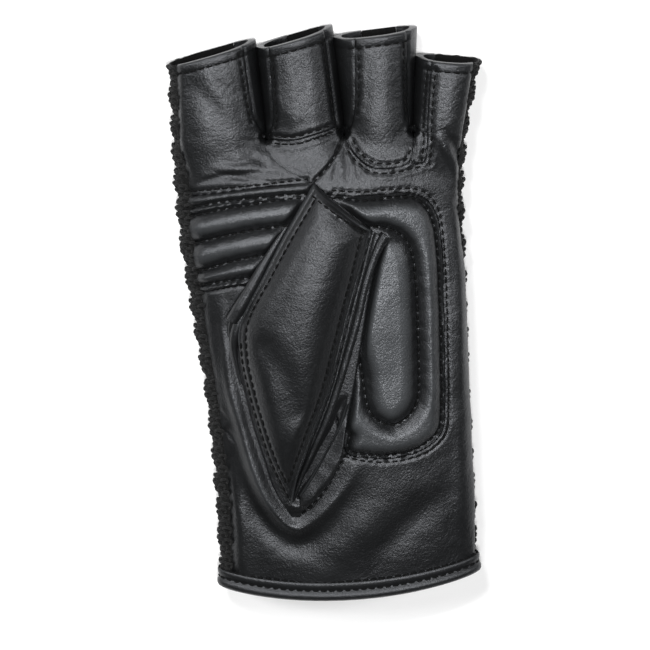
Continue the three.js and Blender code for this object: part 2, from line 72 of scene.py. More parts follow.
# Fingers: the height of each hem at its two sides, and the slits between them, from crotch to tips
HEMS = [(84.6, 92.6), (90.4, 97.2), (93.6, 96.8), (87.4, 85.8)]
CROTCHES = [(-19.0, 61.8), (6.4, 63.5), (28.9, 64.2)]
CROTCH_LINE_ENDS = [(-60.0, 60.0), (60.0, 64.0)]
SLIT_TIPS = [-22.2, 3.25, 29.8]
SLIT_TIP_Y = 92.0
SLIT_HALF_GAP = 0.65
SLIT_EASE = 3.0
SLIT_PRESS = 0.05
LEAN_LEFT = -0.052
LEAN_RIGHT = 0.189
FINGER_BOTTOM = -0.3
FINGER_START_Y = 47.0
FINGER_LENGTH = 44.0
FINGER_HEIGHTS = (17.2, 15.4)
ROOT_BLEND = 16.0
BEND = 3.0

# Small tools for arrays of points

# More than any length on the glove, the steps of a line that are searched at a time, and the noise's cells
FAR = 1e3
LINE_CHUNK = 8
NOISE_CELLS = 256


def lerp(a, b, share):
    """A value at a share of the way from a to b."""
    return a + (b - a) * share


def smooth(low, high, value):
    """A rounded step from 0 at low to 1 at high."""
    share = np.clip((value - low) / (high - low), 0, 1)
    return share * share * (3 - 2 * share)


def bell(distance, width):
    """A rounded bump: 1 at no distance, and close to 0 at twice its width."""
    return np.exp(-((distance / width) ** 2))


def oval(reach, roundness):
    """Share of the full height at a share of the way in from a rounded edge."""
    reach = np.where(reach < 1e-5, 0, np.clip(reach, 0, 1))
    return (1 - (1 - reach) ** roundness) ** (1 / roundness)


def through_rows(rows, where):
    """Every column of a table on a cubic through its rows, read along its first column."""
    table = np.array(rows, float)
    knots, values = table[:, 0], table[:, 1:]
    last = len(knots) - 1
    before = np.maximum(np.arange(last + 1) - 1, 0)
    after = np.minimum(np.arange(last + 1) + 1, last)
    slopes = (values[after] - values[before]) / (knots[after] - knots[before])[:, None]
    where = np.clip(np.asarray(where, float), knots[0], knots[last])
    i = np.clip(np.searchsorted(knots, where, side="right") - 1, 0, last - 1)
    span = (knots[i + 1] - knots[i])[..., None]
    t = (where - knots[i])[..., None] / span
    return (
        (2 * t**3 - 3 * t**2 + 1) * values[i]
        + (t**3 - 2 * t**2 + t) * span * slopes[i]
        + (3 * t**2 - 2 * t**3) * values[i + 1]
        + (t**3 - t**2) * span * slopes[i + 1]
    )


def travelled(line):
    """How far along a line each of its points is."""
    steps = np.linalg.norm(np.diff(line, axis=0), axis=1)
    return np.concatenate([[0], np.cumsum(steps)])


def points_at(stops, along, line):
    """Points of a line at given distances along it."""
    return np.column_stack([np.interp(stops, along, column) for column in line.T])


def unit(vectors):
    """Vectors with their length made 1."""
    return vectors / np.maximum(np.linalg.norm(vectors, axis=-1, keepdims=True), 1e-9)


def closed(outline):
    """An outline with its first point again at its end."""
    return np.vstack([outline, outline[:1]])


def close_ends(count):
    """Shares from 0 to 1 that lie closer together at both ends."""
    return (1 - np.cos(np.linspace(0, np.pi, count))) / 2


def curve(points, step=1.0):
    """A smooth line through given points, with its own points about a step apart."""
    points = np.array(points, float)
    knots = travelled(points[:, :2])
    count = max(int(knots[-1] / step), 2)
    return through_rows(np.column_stack([knots, points]), np.linspace(0, knots[-1], count + 1))


def to_line(points, line, reach=6.0):
    """Distance of plan points from a line, and how far along the line each is, within a reach of it."""
    line = np.asarray(line, float)
    distance = np.full(len(points), FAR)
    place = np.zeros(len(points))
    passed = 0.0
    for start in range(0, len(line) - 1, LINE_CHUNK):
        chunk = line[start:start + LINE_CHUNK + 1]
        low, high = chunk.min(0) - reach, chunk.max(0) + reach
        near = np.flatnonzero(np.all((points > low) & (points < high), axis=1))
        some, best, along = points[near], distance[near], place[near]
        for a, b in zip(chunk[:-1], chunk[1:]):
            step = b - a
            length = math.hypot(*step)
            t = np.clip((some - a) @ step / max(length**2, 1e-9), 0, 1)
            gap = np.hypot(*(some - a - t[:, None] * step).T)
            closer = gap < best
            best = np.where(closer, gap, best)
            along = np.where(closer, passed + t * length, along)
            passed += length
        distance[near], place[near] = best, along
    return np.where(distance > reach, FAR, distance), place


def inside_by(points, outline, reach=6.0):
    """Distance of plan points inside a closed outline, below zero outside it."""
    ring = closed(outline)
    distance, _ = to_line(points, ring, reach)
    near = np.flatnonzero(np.all((points > ring.min(0)) & (points < ring.max(0)), axis=1))
    x, y = points[near].T
    within = np.zeros(len(near), bool)
    for (ax, ay), (bx, by) in zip(ring[:-1], ring[1:]):
        spans = (ay > y) != (by > y)
        within ^= spans & (x < ax + (y - ay) * (bx - ax) / (by - ay if by != ay else 1))
    sign = np.full(len(points), -1.0)
    sign[near[within]] = 1.0
    return sign * np.minimum(distance, reach)


def grain(points, size, seed):
    """Smooth seeded noise between about -1 and 1, with bumps of about that size."""
    random = np.random.default_rng(seed)
    turns = random.uniform(0, 2 * np.pi, (NOISE_CELLS, NOISE_CELLS))
    place = np.asarray(points, float)[:, :2] / size + random.uniform(0, 50, 2)
    cell = np.floor(place).astype(int)
    part = place - cell
    ease = part**3 * (part * (part * 6 - 15) + 10)
    corners = []
    for dx in (0, 1):
        for dy in (0, 1):
            turn = turns[(cell[:, 0] + dx) % NOISE_CELLS, (cell[:, 1] + dy) % NOISE_CELLS]
            corners.append((part[:, 0] - dx) * np.cos(turn) + (part[:, 1] - dy) * np.sin(turn))
    low = lerp(corners[0], corners[1], ease[:, 1])
    high = lerp(corners[2], corners[3], ease[:, 1])
    return 1.5 * lerp(low, high, ease[:, 0])


def wrinkles(points, size, seed, turn=0.0, stretch=1.0):
    """Thin crooked creases from 0 to 1, longer along a turned direction by a stretch."""
    c, s = math.cos(turn), math.sin(turn)
    local = points[:, :2] @ np.array([[c, -s], [s, c]])
    local = local + size * 0.45 * np.column_stack(
        [grain(local, size * 1.3, seed + 1), grain(local, size * 1.3, seed + 2)]
    )
    local = local / [stretch, 1.0]
    return (1 - np.clip(np.abs(grain(local, size, seed)) * 3.2, 0, 1)) ** 2


# The glove's skin: its height over the plan


def section(y):
    """The hand's side edges and heights at y, by their names."""
    return dict(zip(HAND_COLUMNS, np.moveaxis(through_rows(HAND_SECTIONS, y), -1, 0)))


def wrist_bow(x):
    """How far up the glove the wrist's bowed edge lies at x."""
    return WRIST_BOW * (x - WRIST_BOW_X) ** 2


def crotch_line(x):
    """The line through the feet of the slits, where the fingers begin."""
    start, end = CROTCH_LINE_ENDS
    return np.interp(x, *np.transpose([start, *CROTCHES, end]))


def eased(rise):
    """A rise that starts gently, and then goes on one to one."""
    up = np.maximum(rise, 0)
    return up - BEND * (1 - np.exp(-up / BEND))


def finger_borders(y):
    """The five lines that bound the fingers at y, and half the gap at each of them."""
    hand = section(y)
    above = eased(y - ROOT_Y) * FINGER_LENGTH / (FINGER_LENGTH - BEND)
    lines = [hand["left"] + LEAN_LEFT * above]
    gaps = [np.zeros_like(y)]
    for (x, crotch_y), tip_x in zip(CROTCHES, SLIT_TIPS):
        up = np.maximum(y - crotch_y, 0)
        lines.append(x + (tip_x - x) * eased(up) / (SLIT_TIP_Y - crotch_y - BEND))
        gaps.append(SLIT_HALF_GAP * (1 - np.exp(-((up / SLIT_EASE) ** 2))))
    lines.append(hand["right"] + LEAN_RIGHT * above)
    gaps.append(np.zeros_like(y))
    return np.array(lines), np.array(gaps)


def finger_sides(x, y, finger=None):
    """Each point's finger, and that finger's side edges at y."""
    lines, gaps = finger_borders(y)
    if finger is None:
        finger = (x > lines[1:4]).sum(0)
    else:
        finger = np.full(x.shape, finger)
    own = np.arange(len(x))
    return finger, lines[finger, own] + gaps[finger, own], lines[finger + 1, own] - gaps[finger + 1, own]


def skin_z(x, y, side, finger=None):
    """Height of the glove's outer face on the palm (side 1) or on the back (side -1)."""
    x, y = np.atleast_1d(np.asarray(x, float)), np.atleast_1d(np.asarray(y, float))
    hand = section(y)
    finger, left, right = finger_sides(x, y, finger)
    crotch_ys = np.array([-FAR, *(c[1] for c in CROTCHES), -FAR])
    from_left = np.hypot(x - left, np.maximum(crotch_ys[finger] - y, 0))
    from_right = np.hypot(right - x, np.maximum(crotch_ys[finger + 1] - y, 0))
    half = (right - left) / 2
    finger_share = oval(np.minimum(from_left, from_right) / half, FINGER_ROUNDNESS)
    from_slit = np.minimum(np.where(finger > 0, from_left, FAR), np.where(finger < 3, from_right, FAR))
    slit_share = oval(from_slit / half, FINGER_ROUNDNESS)
    hand_half = (hand["right"] - hand["left"]) / 2
    from_edge = np.minimum(x - hand["left"], hand["right"] - x)
    hand_share = oval(from_edge / hand_half, PALM_ROUNDNESS if side > 0 else BACK_ROUNDNESS)
    blend = smooth(crotch_line(x) - ROOT_BLEND, crotch_line(x), y)
    share = lerp(hand_share * slit_share, finger_share, blend)
    along = np.clip((y - FINGER_START_Y) / FINGER_LENGTH, 0, 1)
    top = lerp(hand["top"], lerp(*FINGER_HEIGHTS, along), blend)
    bottom = lerp(hand["bottom"], FINGER_BOTTOM, blend)
    middle = lerp(bottom, top, MIDDLE_SHARE)
    z = middle + ((top - middle) if side > 0 else (bottom - middle)) * share
    return np.maximum(z, 0)


# Sheets: triangles over points, each with columns of values


def cut(sheet, field):
    """Keeps a sheet where the field is above zero, with a clean edge along its zero line."""
    faces = sheet["faces"]
    total = len(field)
    inside = field > 0
    count = inside[faces].sum(1)
    pairs, patterns = [], []
    for kept in (1, 2):
        some = faces[count == kept]
        lone = (inside[some] if kept == 1 else ~inside[some]).argmax(1)
        some = some[np.arange(len(some))[:, None], (lone[:, None] + np.arange(3)) % 3]
        a, b, c = some.T
        pairs += [a * total + b, a * total + c] if kept == 1 else [b * total + a, c * total + a]
        patterns.append((a, b, c))
    keys, number = np.unique(np.concatenate(pairs), return_inverse=True)
    kept_end, lost_end = keys // total, keys % total
    share = np.clip(field[kept_end] / (field[kept_end] - field[lost_end]), 0.02, 1)
    ends = np.cumsum([len(p) for p in pairs])[:-1]
    ab, ac, ba, ca = (part + total for part in np.split(number.ravel(), ends))
    (one, _, _), (_, b, c) = patterns
    made = np.concatenate([
        faces[count == 3],
        np.column_stack([one, ab, ac]),
        np.column_stack([ba, b, c]),
        np.column_stack([ba, c, ca]),
    ])
    used, made = np.unique(made, return_inverse=True)
    result = {"faces": made.reshape(-1, 3)}
    for name, values in sheet.items():
        if name != "faces":
            weight = share.reshape(-1, *[1] * (values.ndim - 1))
            result[name] = np.concatenate([values, lerp(values[kept_end], values[lost_end], weight)])[used]
    return result


def face_normals(points, faces):
    """Each point's normal, from the triangles round it."""
    a, b, c = points[faces.T]
    normals = np.zeros_like(points)
    for corner in faces.T:
        np.add.at(normals, corner, np.cross(b - a, c - a))
    return unit(normals)


def sided(points, faces):
    """Turns a closed solid's faces outward."""
    a, b, c = points[faces.T]
    volume = np.einsum("ij,ij->i", a, np.cross(b, c)).sum()
    return faces if volume > 0 else faces[:, ::-1]


def grid_faces(numbers):
    """Triangles over a grid of numbered points."""
    a, b, c, d = numbers[:-1, :-1], numbers[:-1, 1:], numbers[1:, 1:], numbers[1:, :-1]
    quads = np.stack([a, b, c, d], -1).reshape(-1, 4)
    return np.concatenate([quads[:, [0, 1, 2]], quads[:, [0, 2, 3]]])


def numbered_faces(rows, columns):
    return grid_faces(np.arange(rows * columns).reshape(rows, columns))


def tube_faces(rings, sides):
    """Triangles of an open tube of rings."""
    number = np.arange(rings * sides).reshape(rings, sides)
    return grid_faces(np.column_stack([number, number[:, :1]]))


def shell(outer, inner, faces):
    """A closed solid between two layers of points that share their faces."""
    total = len(outer)
    edges = np.concatenate([faces[:, [0, 1]], faces[:, [1, 2]], faces[:, [2, 0]]])
    low, high = np.sort(edges, axis=1).T
    _, first, number = np.unique(low * total + high, return_index=True, return_counts=True)
    a, b = edges[first[number == 1]].T
    rim = np.concatenate([np.column_stack([b, a, a + total]), np.column_stack([b, a + total, b + total])])
    return np.concatenate([outer, inner]), np.concatenate([faces, faces[:, ::-1] + total, rim])


def weld(points, faces):
    """Joins points that lie on each other, and drops the faces that this closes up."""
    _, first, number = np.unique(np.round(points, 4), axis=0, return_index=True, return_inverse=True)
    faces = number.ravel()[faces]
    whole = (faces[:, 0] != faces[:, 1]) & (faces[:, 1] != faces[:, 2]) & (faces[:, 2] != faces[:, 0])
    return points[first], faces[whole], first


# Rows of points over the skin: distances of the first ones from an edge that needs them close, the lengths of
# the hand and the fingers, and each finger's girth from border to border
CLOSE_ROWS = (0.12, 0.3, 0.55, 0.9, 1.35, 1.85)
FINGER_NOMINAL = 29.0
HAND_NOMINAL = 151.0
FINGER_ARCS = (45.0, 41.0, 38.0, 33.0)
PANEL_START = 4.9
FINE = 160


def row_shares(length, step, close_start, close_end):
    """Shares of a length about a step apart, with close rows at the ends that ask for them."""
    start = np.array([0.0, *(CLOSE_ROWS if close_start else ())])
    end = length - np.array([0.0, *(CLOSE_ROWS if close_end else ())])[::-1]
    count = max(int((end[0] - start[-1]) / step), 2)
    return np.concatenate([start[:-1], np.linspace(start[-1], end[0], count + 1), end[1:]]) / length


def hand_row(share, across):
    """Points of one row across the hand, from the wrist (0) to the crotches (1)."""
    y = np.full_like(across, lerp(WRIST_Y, ROOT_Y, share))
    for _ in range(5):
        hand = section(y)
        x = lerp(hand["left"], hand["right"], across)
        y = lerp(WRIST_Y + PANEL_START + wrist_bow(x), crotch_line(x), share)
    return x, y


def finger_row(finger, share, across):
    """Points of one row across a finger, from the crotches (0) to its hem (1)."""
    hand = section(np.array([ROOT_Y]))
    roots = [hand["left"][0], *(c[0] for c in CROTCHES), hand["right"][0]]
    foot = crotch_line(lerp(roots[finger], roots[finger + 1], across))
    y = lerp(foot, lerp(*HEMS[finger], across), share)
    ends = np.array([y[0], y[-1]])
    _, left, right = finger_sides(ends, ends, finger)
    return lerp(left[0], right[1], across), y


def skin_points(row, share, across, side, finger):
    """Points of a row on the skin, at shares across it."""
    x, y = row(share, across)
    return np.column_stack([x, y, skin_z(x, y, side, finger)])


def even_row(row, share, side, finger, low, high, count):
    """Points of a row on the skin that lie evenly from one share across it to another."""
    fine = lerp(low, high, close_ends(FINE))
    along = travelled(skin_points(row, share, fine, side, finger))
    across = np.interp(np.linspace(0, along[-1], count + 1), along, fine)
    return skin_points(row, share, across, side, finger)


def skin_sheet(step, row_step):
    """The whole skin of the glove as one closed sheet, open at the wrist and at the fingers' hems."""
    hand = section(np.array([ROOT_Y]))
    width = hand["right"][0] - hand["left"][0]
    borders = [0.0, *((x - hand["left"][0]) / width for x, _ in CROTCHES), 1.0]
    hand_shares = row_shares(HAND_NOMINAL, row_step, False, True)
    finger_shares = row_shares(FINGER_NOMINAL, row_step, True, True)[1:]
    points, faces, marks = [], [], []
    start = 0
    for side in (1, -1):
        for finger, length in enumerate(FINGER_ARCS):
            count = round(length / step)
            span = (side, finger, borders[finger], borders[finger + 1], count)
            below = [even_row(hand_row, share, *span) for share in hand_shares]
            own_row = partial(finger_row, finger)
            above = [even_row(own_row, share, side, finger, 0.0, 1.0, count) for share in finger_shares]
            for rows in (below, [below[-1], *above]):
                found = numbered_faces(len(rows), count + 1) + start
                faces.append(found if side > 0 else found[:, ::-1])
                points += rows
                marks.append(np.tile([side, finger], (len(rows) * (count + 1), 1)))
                start += len(marks[-1])
    points, faces, first = weld(np.concatenate(points), np.concatenate(faces))
    side, finger = np.concatenate(marks)[first].T.astype(float)
    normals = face_normals(points, faces)
    return {"faces": faces, "points": points, "normals": normals, "side": side, "finger": finger}


# Seams of the palm in the plan. Each panel's outline is put together from them.

INDEX_SEAM = curve([(-60, 39), (-44, 42.5), (-20, 46.6), (-4.1, 48.2)])
DIAGONAL_SEAM = curve([(-19.3, 62.4), (-18.6, 58.6), (-14.5, 53.5), (-4.1, 48.2)])
MIDDLE_SEAM = curve([(-18.9, 61.0), (-10, 61.3), (-3.2, 63.1), (4.4, 65.3)])
STITCH_SEAM = curve([(6.3, 62.8), (5.2, 60), (1.6, 54), (-4.1, 48.2)])
RING_SEAM = curve([
    (6.6, 62.8), (7.6, 60.0), (9.9, 56.6), (14.8, 52.8), (21.3, 52.4), (26.6, 53.6), (29.2, 56.6),
    (29.4, 60.6),
])
LITTLE_SEAM = curve([(29.2, 53.4), (32.6, 54.2), (33.2, 57), (33.2, 64), (33.8, 76.7), (34.9, 92), (36, 120)])
PAD_SEAM = curve([
    (-4.1, 48.2), (-3.6, 46.0), (1.5, 44.4), (14.7, 43.9), (26.5, 44.6), (33.5, 41.8), (36.9, 36),
    (38.4, 27), (39.0, 12), (39.4, -8), (39.6, -28.2), (38.7, -35.8), (34.4, -40.4), (29, -42.9),
    (21.3, -44.3), (14.7, -43.9), (7.4, -42.3), (4.2, -30.6), (-4, -10.8), (-20, 9.4), (-24.4, 14),
    (-39.8, 11), (-60, 8),
])
# Edges of the palm leather on the fingers, past which the strips between the fingers begin
INDEX_EDGE = curve([(-19.3, 62.4), (-20.4, 64.6), (-22.4, 68), (-23.3, 72), (-26.2, 92), (-30, 120)])
MIDDLE_LEFT_EDGE = curve([(-18.9, 61.0), (-17.4, 64.6), (-16.6, 69), (-18, 92), (-20, 120)])
MIDDLE_RIGHT_EDGE = curve([(6.3, 62.8), (5.3, 63.8), (4.4, 65.3), (3.8, 69), (0.6, 94), (-3, 120)])
RING_LEFT_EDGE = curve([(6.6, 62.8), (8.4, 66), (9.6, 70), (9.9, 78), (9.9, 95), (9.9, 120)])
RING_RIGHT_EDGE = curve([(29.4, 60.6), (28.4, 65), (27.7, 70), (26.7, 94), (25.6, 120)])
TOP_Y = 120.0

PANELS = {
    "index_front": [[(-80, 34)], INDEX_SEAM, DIAGONAL_SEAM[::-1], INDEX_EDGE, [(-80, TOP_Y)]],
    "middle_front": [MIDDLE_SEAM, MIDDLE_RIGHT_EDGE[3:], MIDDLE_LEFT_EDGE[::-1]],
    "ring_front": [RING_SEAM, RING_RIGHT_EDGE, RING_LEFT_EDGE[::-1]],
    "palm_triangle": [DIAGONAL_SEAM, STITCH_SEAM[::-1], MIDDLE_RIGHT_EDGE[:3], MIDDLE_SEAM[::-1]],
    "palm_pad": [[(-80, 34)], INDEX_SEAM, PAD_SEAM, [(-80, 4)]],
    "fourchette_index_middle": [INDEX_EDGE[::-1], MIDDLE_LEFT_EDGE],
    "fourchette_middle_ring": [MIDDLE_RIGHT_EDGE[::-1], RING_LEFT_EDGE],
    "fourchette_ring_little": [RING_RIGHT_EDGE[::-1], [(28.9, 58), (28.2, 55)], LITTLE_SEAM],
}
OUTLINES = {name: np.vstack(parts) for name, parts in PANELS.items()}

# Quilting of the pad: rows of stitches with padding between them
STRIP_ROW = curve([(-60, 34.4), (-44.3, 38.6), (-33.2, 41.4), (-20, 43.2), (-9, 44.3), (-3, 44.3)])
RIB_ROWS = [
    curve([(-60, 31.0), (-44.3, 35.8), (-33.2, 38.9), (-20, 41.6), (-10.7, 43.0), (0, 43.0)]),
    curve([(-60, 22.0), (-42.2, 27.2), (-33.2, 30.1), (-21.6, 32.8), (-10, 34.4)]),
    curve([(-60, 12.5), (-40.8, 17.9), (-33.2, 20.9), (-24.9, 23.3), (-14, 25.4)]),
    curve([(-60, 9.5), (-39.8, 13.4), (-33.2, 15.1), (-23.1, 16.9), (-16, 18)]),
]
PAD_INNER_ROW = curve([
    (0, 43.2), (3.8, 43), (13, 42.3), (21.3, 43), (27.6, 43), (31.2, 41.3), (34.2, 37.5), (36.1, 31.4),
    (37.5, 13.1), (38.1, -7.3), (38.4, -27.8), (37.5, -34.9), (33.5, -39), (28.2, -41.7), (21.3, -43.1),
    (14.7, -42.7), (7.8, -41), (8.4, -35.6),
])
OVAL_ROW = curve([
    (6, 33.0), (14.7, 33.5), (20.3, 33.1), (25.6, 30.1), (28.5, 24.6), (29.9, 13.1), (30.5, -0.5),
    (30.9, -21), (29.9, -26.1), (27.2, -30.1), (22.9, -32.5), (19, -31.8), (15.7, -29.1), (13.7, -24.4),
    (12.4, -15.9), (10.7, -7.3), (8, 2),
])
PAD_OUTER_ROW = curve([
    (3.1, 45.5), (13, 45), (21.3, 45.7), (28.9, 45.7), (33.5, 43.7), (36.8, 39.2), (38.4, 32.8),
    (39.8, 13.1), (40.4, -7.3), (40.8, -27.8), (39.8, -36.6), (35.5, -41.4), (29.5, -44.1),
    (21.3, -45.4), (14.7, -45.1), (7.4, -43.6),
])
THUMB_SEAM = curve([
    (-28.6, -7.1), (-25.2, -22.1), (-21.0, -37.1), (-16.1, -49.3), (-12.2, -58.2), (-9.4, -64.4),
    (-5.0, -61.1), (-0.2, -55.0), (4.7, -46.4), (6.8, -43.2),
])

# Rows of stitches: in the flat leather, along its deep seams and in the quilting
FLAT_ROWS = {
    "index_row": curve([(-45, 44), (-33.2, 45.7), (-20, 47.4), (-5.6, 49.2)]),
    "middle_upper_row": curve([(-17.6, 62.6), (-10.1, 62.5), (-3.5, 64.3), (3.2, 66.3)]),
    "middle_lower_row": curve([(-17.6, 60.1), (-9.4, 60.2), (-2.8, 62.0), (4.3, 64.2)]),
    "triangle_row": curve([(5.9, 61.4), (2.3, 54.6), (-3.0, 48.6)]),
    "ring_upper_row": curve([
        (9.4, 60.7), (11.9, 57.1), (16.3, 54.4), (21.3, 53.9), (26.2, 55.0), (27.6, 57.6),
    ]),
    "ring_lower_row": curve([
        (8.0, 57.6), (10.8, 54.4), (15.2, 51.5), (21.5, 50.9), (27.6, 52.0), (30.4, 52.6),
    ]),
    "little_row": curve([(34.2, 53.6), (34.6, 57.4), (34.6, 64), (35.2, 76.7), (35.9, 84.5)]),
    "strip_row": curve([(31.6, 55.2), (32.0, 60), (32.0, 66), (32.5, 76.7), (33.2, 84.5)]),
    "index_edge_row": curve([(-23.4, 67), (-24.6, 72), (-26.6, 84), (-27.5, 89)]),
    "middle_left_row": curve([(-16.0, 65), (-15.4, 69), (-16.7, 87.5)]),
    "middle_right_row": curve([(3.1, 68), (1.8, 78), (-0.3, 92.5)]),
    "ring_left_row": curve([(10.6, 70), (11.1, 78), (11.1, 91)]),
    "ring_right_row": curve([(26.7, 68), (26.0, 80), (25.5, 92)]),
}
DEEP_ROWS = {
    "thumb_seam_row": THUMB_SEAM,
    "pad_outer_row": PAD_OUTER_ROW,
}
QUILT_ROWS = {
    "strip_row": STRIP_ROW,
    **{f"rib_row_{i}": row for i, row in enumerate(RIB_ROWS)},
    "pad_inner_row": PAD_INNER_ROW,
    "oval_row": OVAL_ROW,
}

# Folds and creases of the palm: height (below zero for a crease), half width, and line
FOLDS = [
    (2.0, 2.3, [(-35.0, 13.0), (-32.4, -1.6), (-31.0, -18.0), (-27.0, -33.8), (-22.9, -48.1), (-17.2, -60.9),
                (-9.4, -68.2), (-2.2, -64.0), (7.2, -52.8), (12.0, -42.4)]),
    (-1.0, 3.4, [(-36.0, -14.0), (-33.0, -34.0), (-28.4, -50.6), (-21.6, -65.4), (-9.8, -75.0), (1.6, -69.6),
                 (10.8, -58.2), (17.0, -51.0)]),
    (1.0, 2.8, [(-40.6, 9.0), (-37.4, -8.6), (-35.6, -21.2), (-34.0, -35.2), (-33.0, -52.2)]),
    (1.0, 4.0, [(-29.0, -44.5), (-28.0, -62.8), (-27.2, -76.1), (-26.6, -95)]),
    (-0.7, 2.2, [(-33.0, -44.8), (-32.2, -60.9), (-31.6, -75.7), (-31.2, -95)]),
    (-0.9, 5.0, [(13.1, -88.8), (20.5, -74.6), (31.4, -62.9), (44.8, -54.1)]),
    (0.9, 7.0, [(-14, -86), (0, -82), (12, -68), (24, -55)]),
    (0.8, 3.0, [(43.6, 20), (44.2, -10), (45.0, -40), (45.6, -66), (45.8, -84)]),
    (0.9, 2.2, [(29, 48.9), (35.9, 46.3), (40.1, 41.3), (42.2, 32.3), (43.4, 18.0), (44.0, -0.6),
                (44.8, -24)]),
    (-0.5, 1.4, [(42.0, 44), (44.6, 34), (45.4, 20)]),
    (1.0, 1.7, [(36.6, 63.9), (39.8, 57.6), (42.3, 51.8), (43.6, 44.8)]),
    (-0.9, 1.5, [(38.6, 66), (42.6, 58.6), (44.6, 52.8)]),
    (-0.6, 1.0, [(-43.6, 44.9), (-39.1, 47.8), (-32.1, 49.6), (-23.8, 48.9), (-14.1, 48.4), (-7.1, 48.6)]),
    (-0.5, 0.9, [(-39.8, 51.8), (-30.0, 50.4), (-21.7, 50.9), (-14.1, 50.2), (-8.5, 49.2)]),
    (0.5, 1.6, [(-41, 49.6), (-33, 51.8), (-24, 52.4), (-16, 51.6)]),
    (-0.4, 1.0, [(-32.8, 54.7), (-28.0, 54.0), (-23.8, 55.8), (-21.7, 58.3)]),
    (-0.3, 1.2, [(-28.8, 59.7), (-25.0, 57.0), (-20.8, 54.8), (-17.7, 52.3)]),
    (-0.35, 3.0, [(-45.9, 84.2), (-39.8, 76.4), (-35.6, 72.1), (-30.1, 62.4)]),
    (0.2, 2.2, [(-40.0, 84.0), (-36.0, 78.4), (-32.0, 73.1), (-30.0, 68)]),
    (-0.15, 1.2, [(-36.3, 81.4), (-32.1, 78.6), (-28.6, 75.7)]),
    (-0.35, 0.8, [(6.4, 60.1), (7.1, 55.1), (7.3, 48.0)]),
    (-0.35, 0.8, [(4.0, 56.1), (3.6, 52.1), (2.3, 47.6)]),
    (-0.3, 0.8, [(8.6, 57.7), (10.3, 53.0), (12.3, 48.4)]),
    (-0.4, 1.0, [(-33.2, -34.3), (-28.6, -40.7)]),
    (-0.3, 0.9, [(-35.4, -28.3), (-31.6, -32.7)]),
    (0.3, 2.4, [(-17, 79), (-13, 72), (-8, 67)]),
    (-0.25, 2.6, [(-8, 90), (-7, 80), (-9, 70)]),
]

# Sizes of the palm's relief
VALLEY_FLOOR = 0.3
HEM_BAND = 3.0
SEAM_DEPTH = 0.6
SEAM_WIDTH = 0.45
LAP_HEIGHT = 0.35
FINGER_CROWN = 0.95
STITCH_PITCH = 2.65
LOFT_EASE = 0.8
# Padding under the rolls, the oval and the upper strip: its height, and how far in from a row it gets there
PAD_HEIGHTS = (2.6, 3.0, 1.1)
PAD_REACHES = (4.3, 6.6, 1.7)
# Depth and width of the grooves along rows of stitches
FLAT_GROOVE = (0.42, 0.62)
DEEP_GROOVE = (0.45, 0.6)
QUILT_GROOVE = (0.3, 0.6)
# Fine creases of worn leather and of all leather: depth, size, seed, turn and stretch
WORN_CREASES = [(0.055, 3.1, 21, 0.2, 1.5), (0.03, 1.7, 31, 1.2, 1.3)]
BROAD_CREASES = (0.04, 9.0, 41, 0.1, 1.6)


def hem_distance(plan, finger):
    """How far below its finger's hem each point lies."""
    finger = np.clip(np.round(finger).astype(int), 0, 3)
    x, y = plan.T
    result = np.full(len(plan), FAR)
    for number, (low, high) in enumerate(HEMS):
        _, left, right = finger_sides(x, np.maximum(y, ROOT_Y), number)
        hem = lerp(low, high, np.clip((x - left) / (right - left), 0, 1))
        result = np.where(finger == number, hem - y, result)
    return np.where(y > ROOT_Y, result, FAR)


def pad_loft(plan, in_pad):
    """Height of the padding between its rows of stitches."""
    rows = np.min([to_line(plan, row, 9)[0] for row in QUILT_ROWS.values()], axis=0)
    nearest = np.minimum(rows, np.maximum(in_pad, 0))
    in_strip = smooth(0.4, 1.2, plan[:, 1] - np.interp(plan[:, 0], *RIB_ROWS[0].T)) * (plan[:, 0] < 4)
    in_oval = smooth(0.0, 1.5, inside_by(plan, OVAL_ROW))
    height, reach = (lerp(lerp(a, b, in_oval), c, in_strip) for a, b, c in (PAD_HEIGHTS, PAD_REACHES))
    share = np.clip((nearest - VALLEY_FLOOR) / reach, 0, 1)
    return height * np.sin(np.pi / 2 * share) ** LOFT_EASE


def row_phase(line, along):
    """Turns round the stitches at a place along their row: a whole number at the middle of each."""
    total = travelled(line[:, :2])[-1]
    return along * max(int(total / STITCH_PITCH), 1) / total * 2 * np.pi


def stitched(plan, line, depth, width):
    """A groove along a row of stitches, deeper under each of them."""
    distance, along = to_line(plan, line, 4)
    pull = 0.8 + 0.2 * np.cos(row_phase(line, along))
    return -depth * pull * bell(distance, width)


def finger_crown(plan):
    """How far the middle of each finger's front swells."""
    x, y = plan.T
    _, left, right = finger_sides(x, y)
    across = np.clip((2 * x - left - right) / (right - left), -1, 1)
    on_finger = smooth(crotch_line(x) - 6, crotch_line(x) + 8, y)
    return on_finger * (FINGER_CROWN * (1 - across**2) - 0.25)


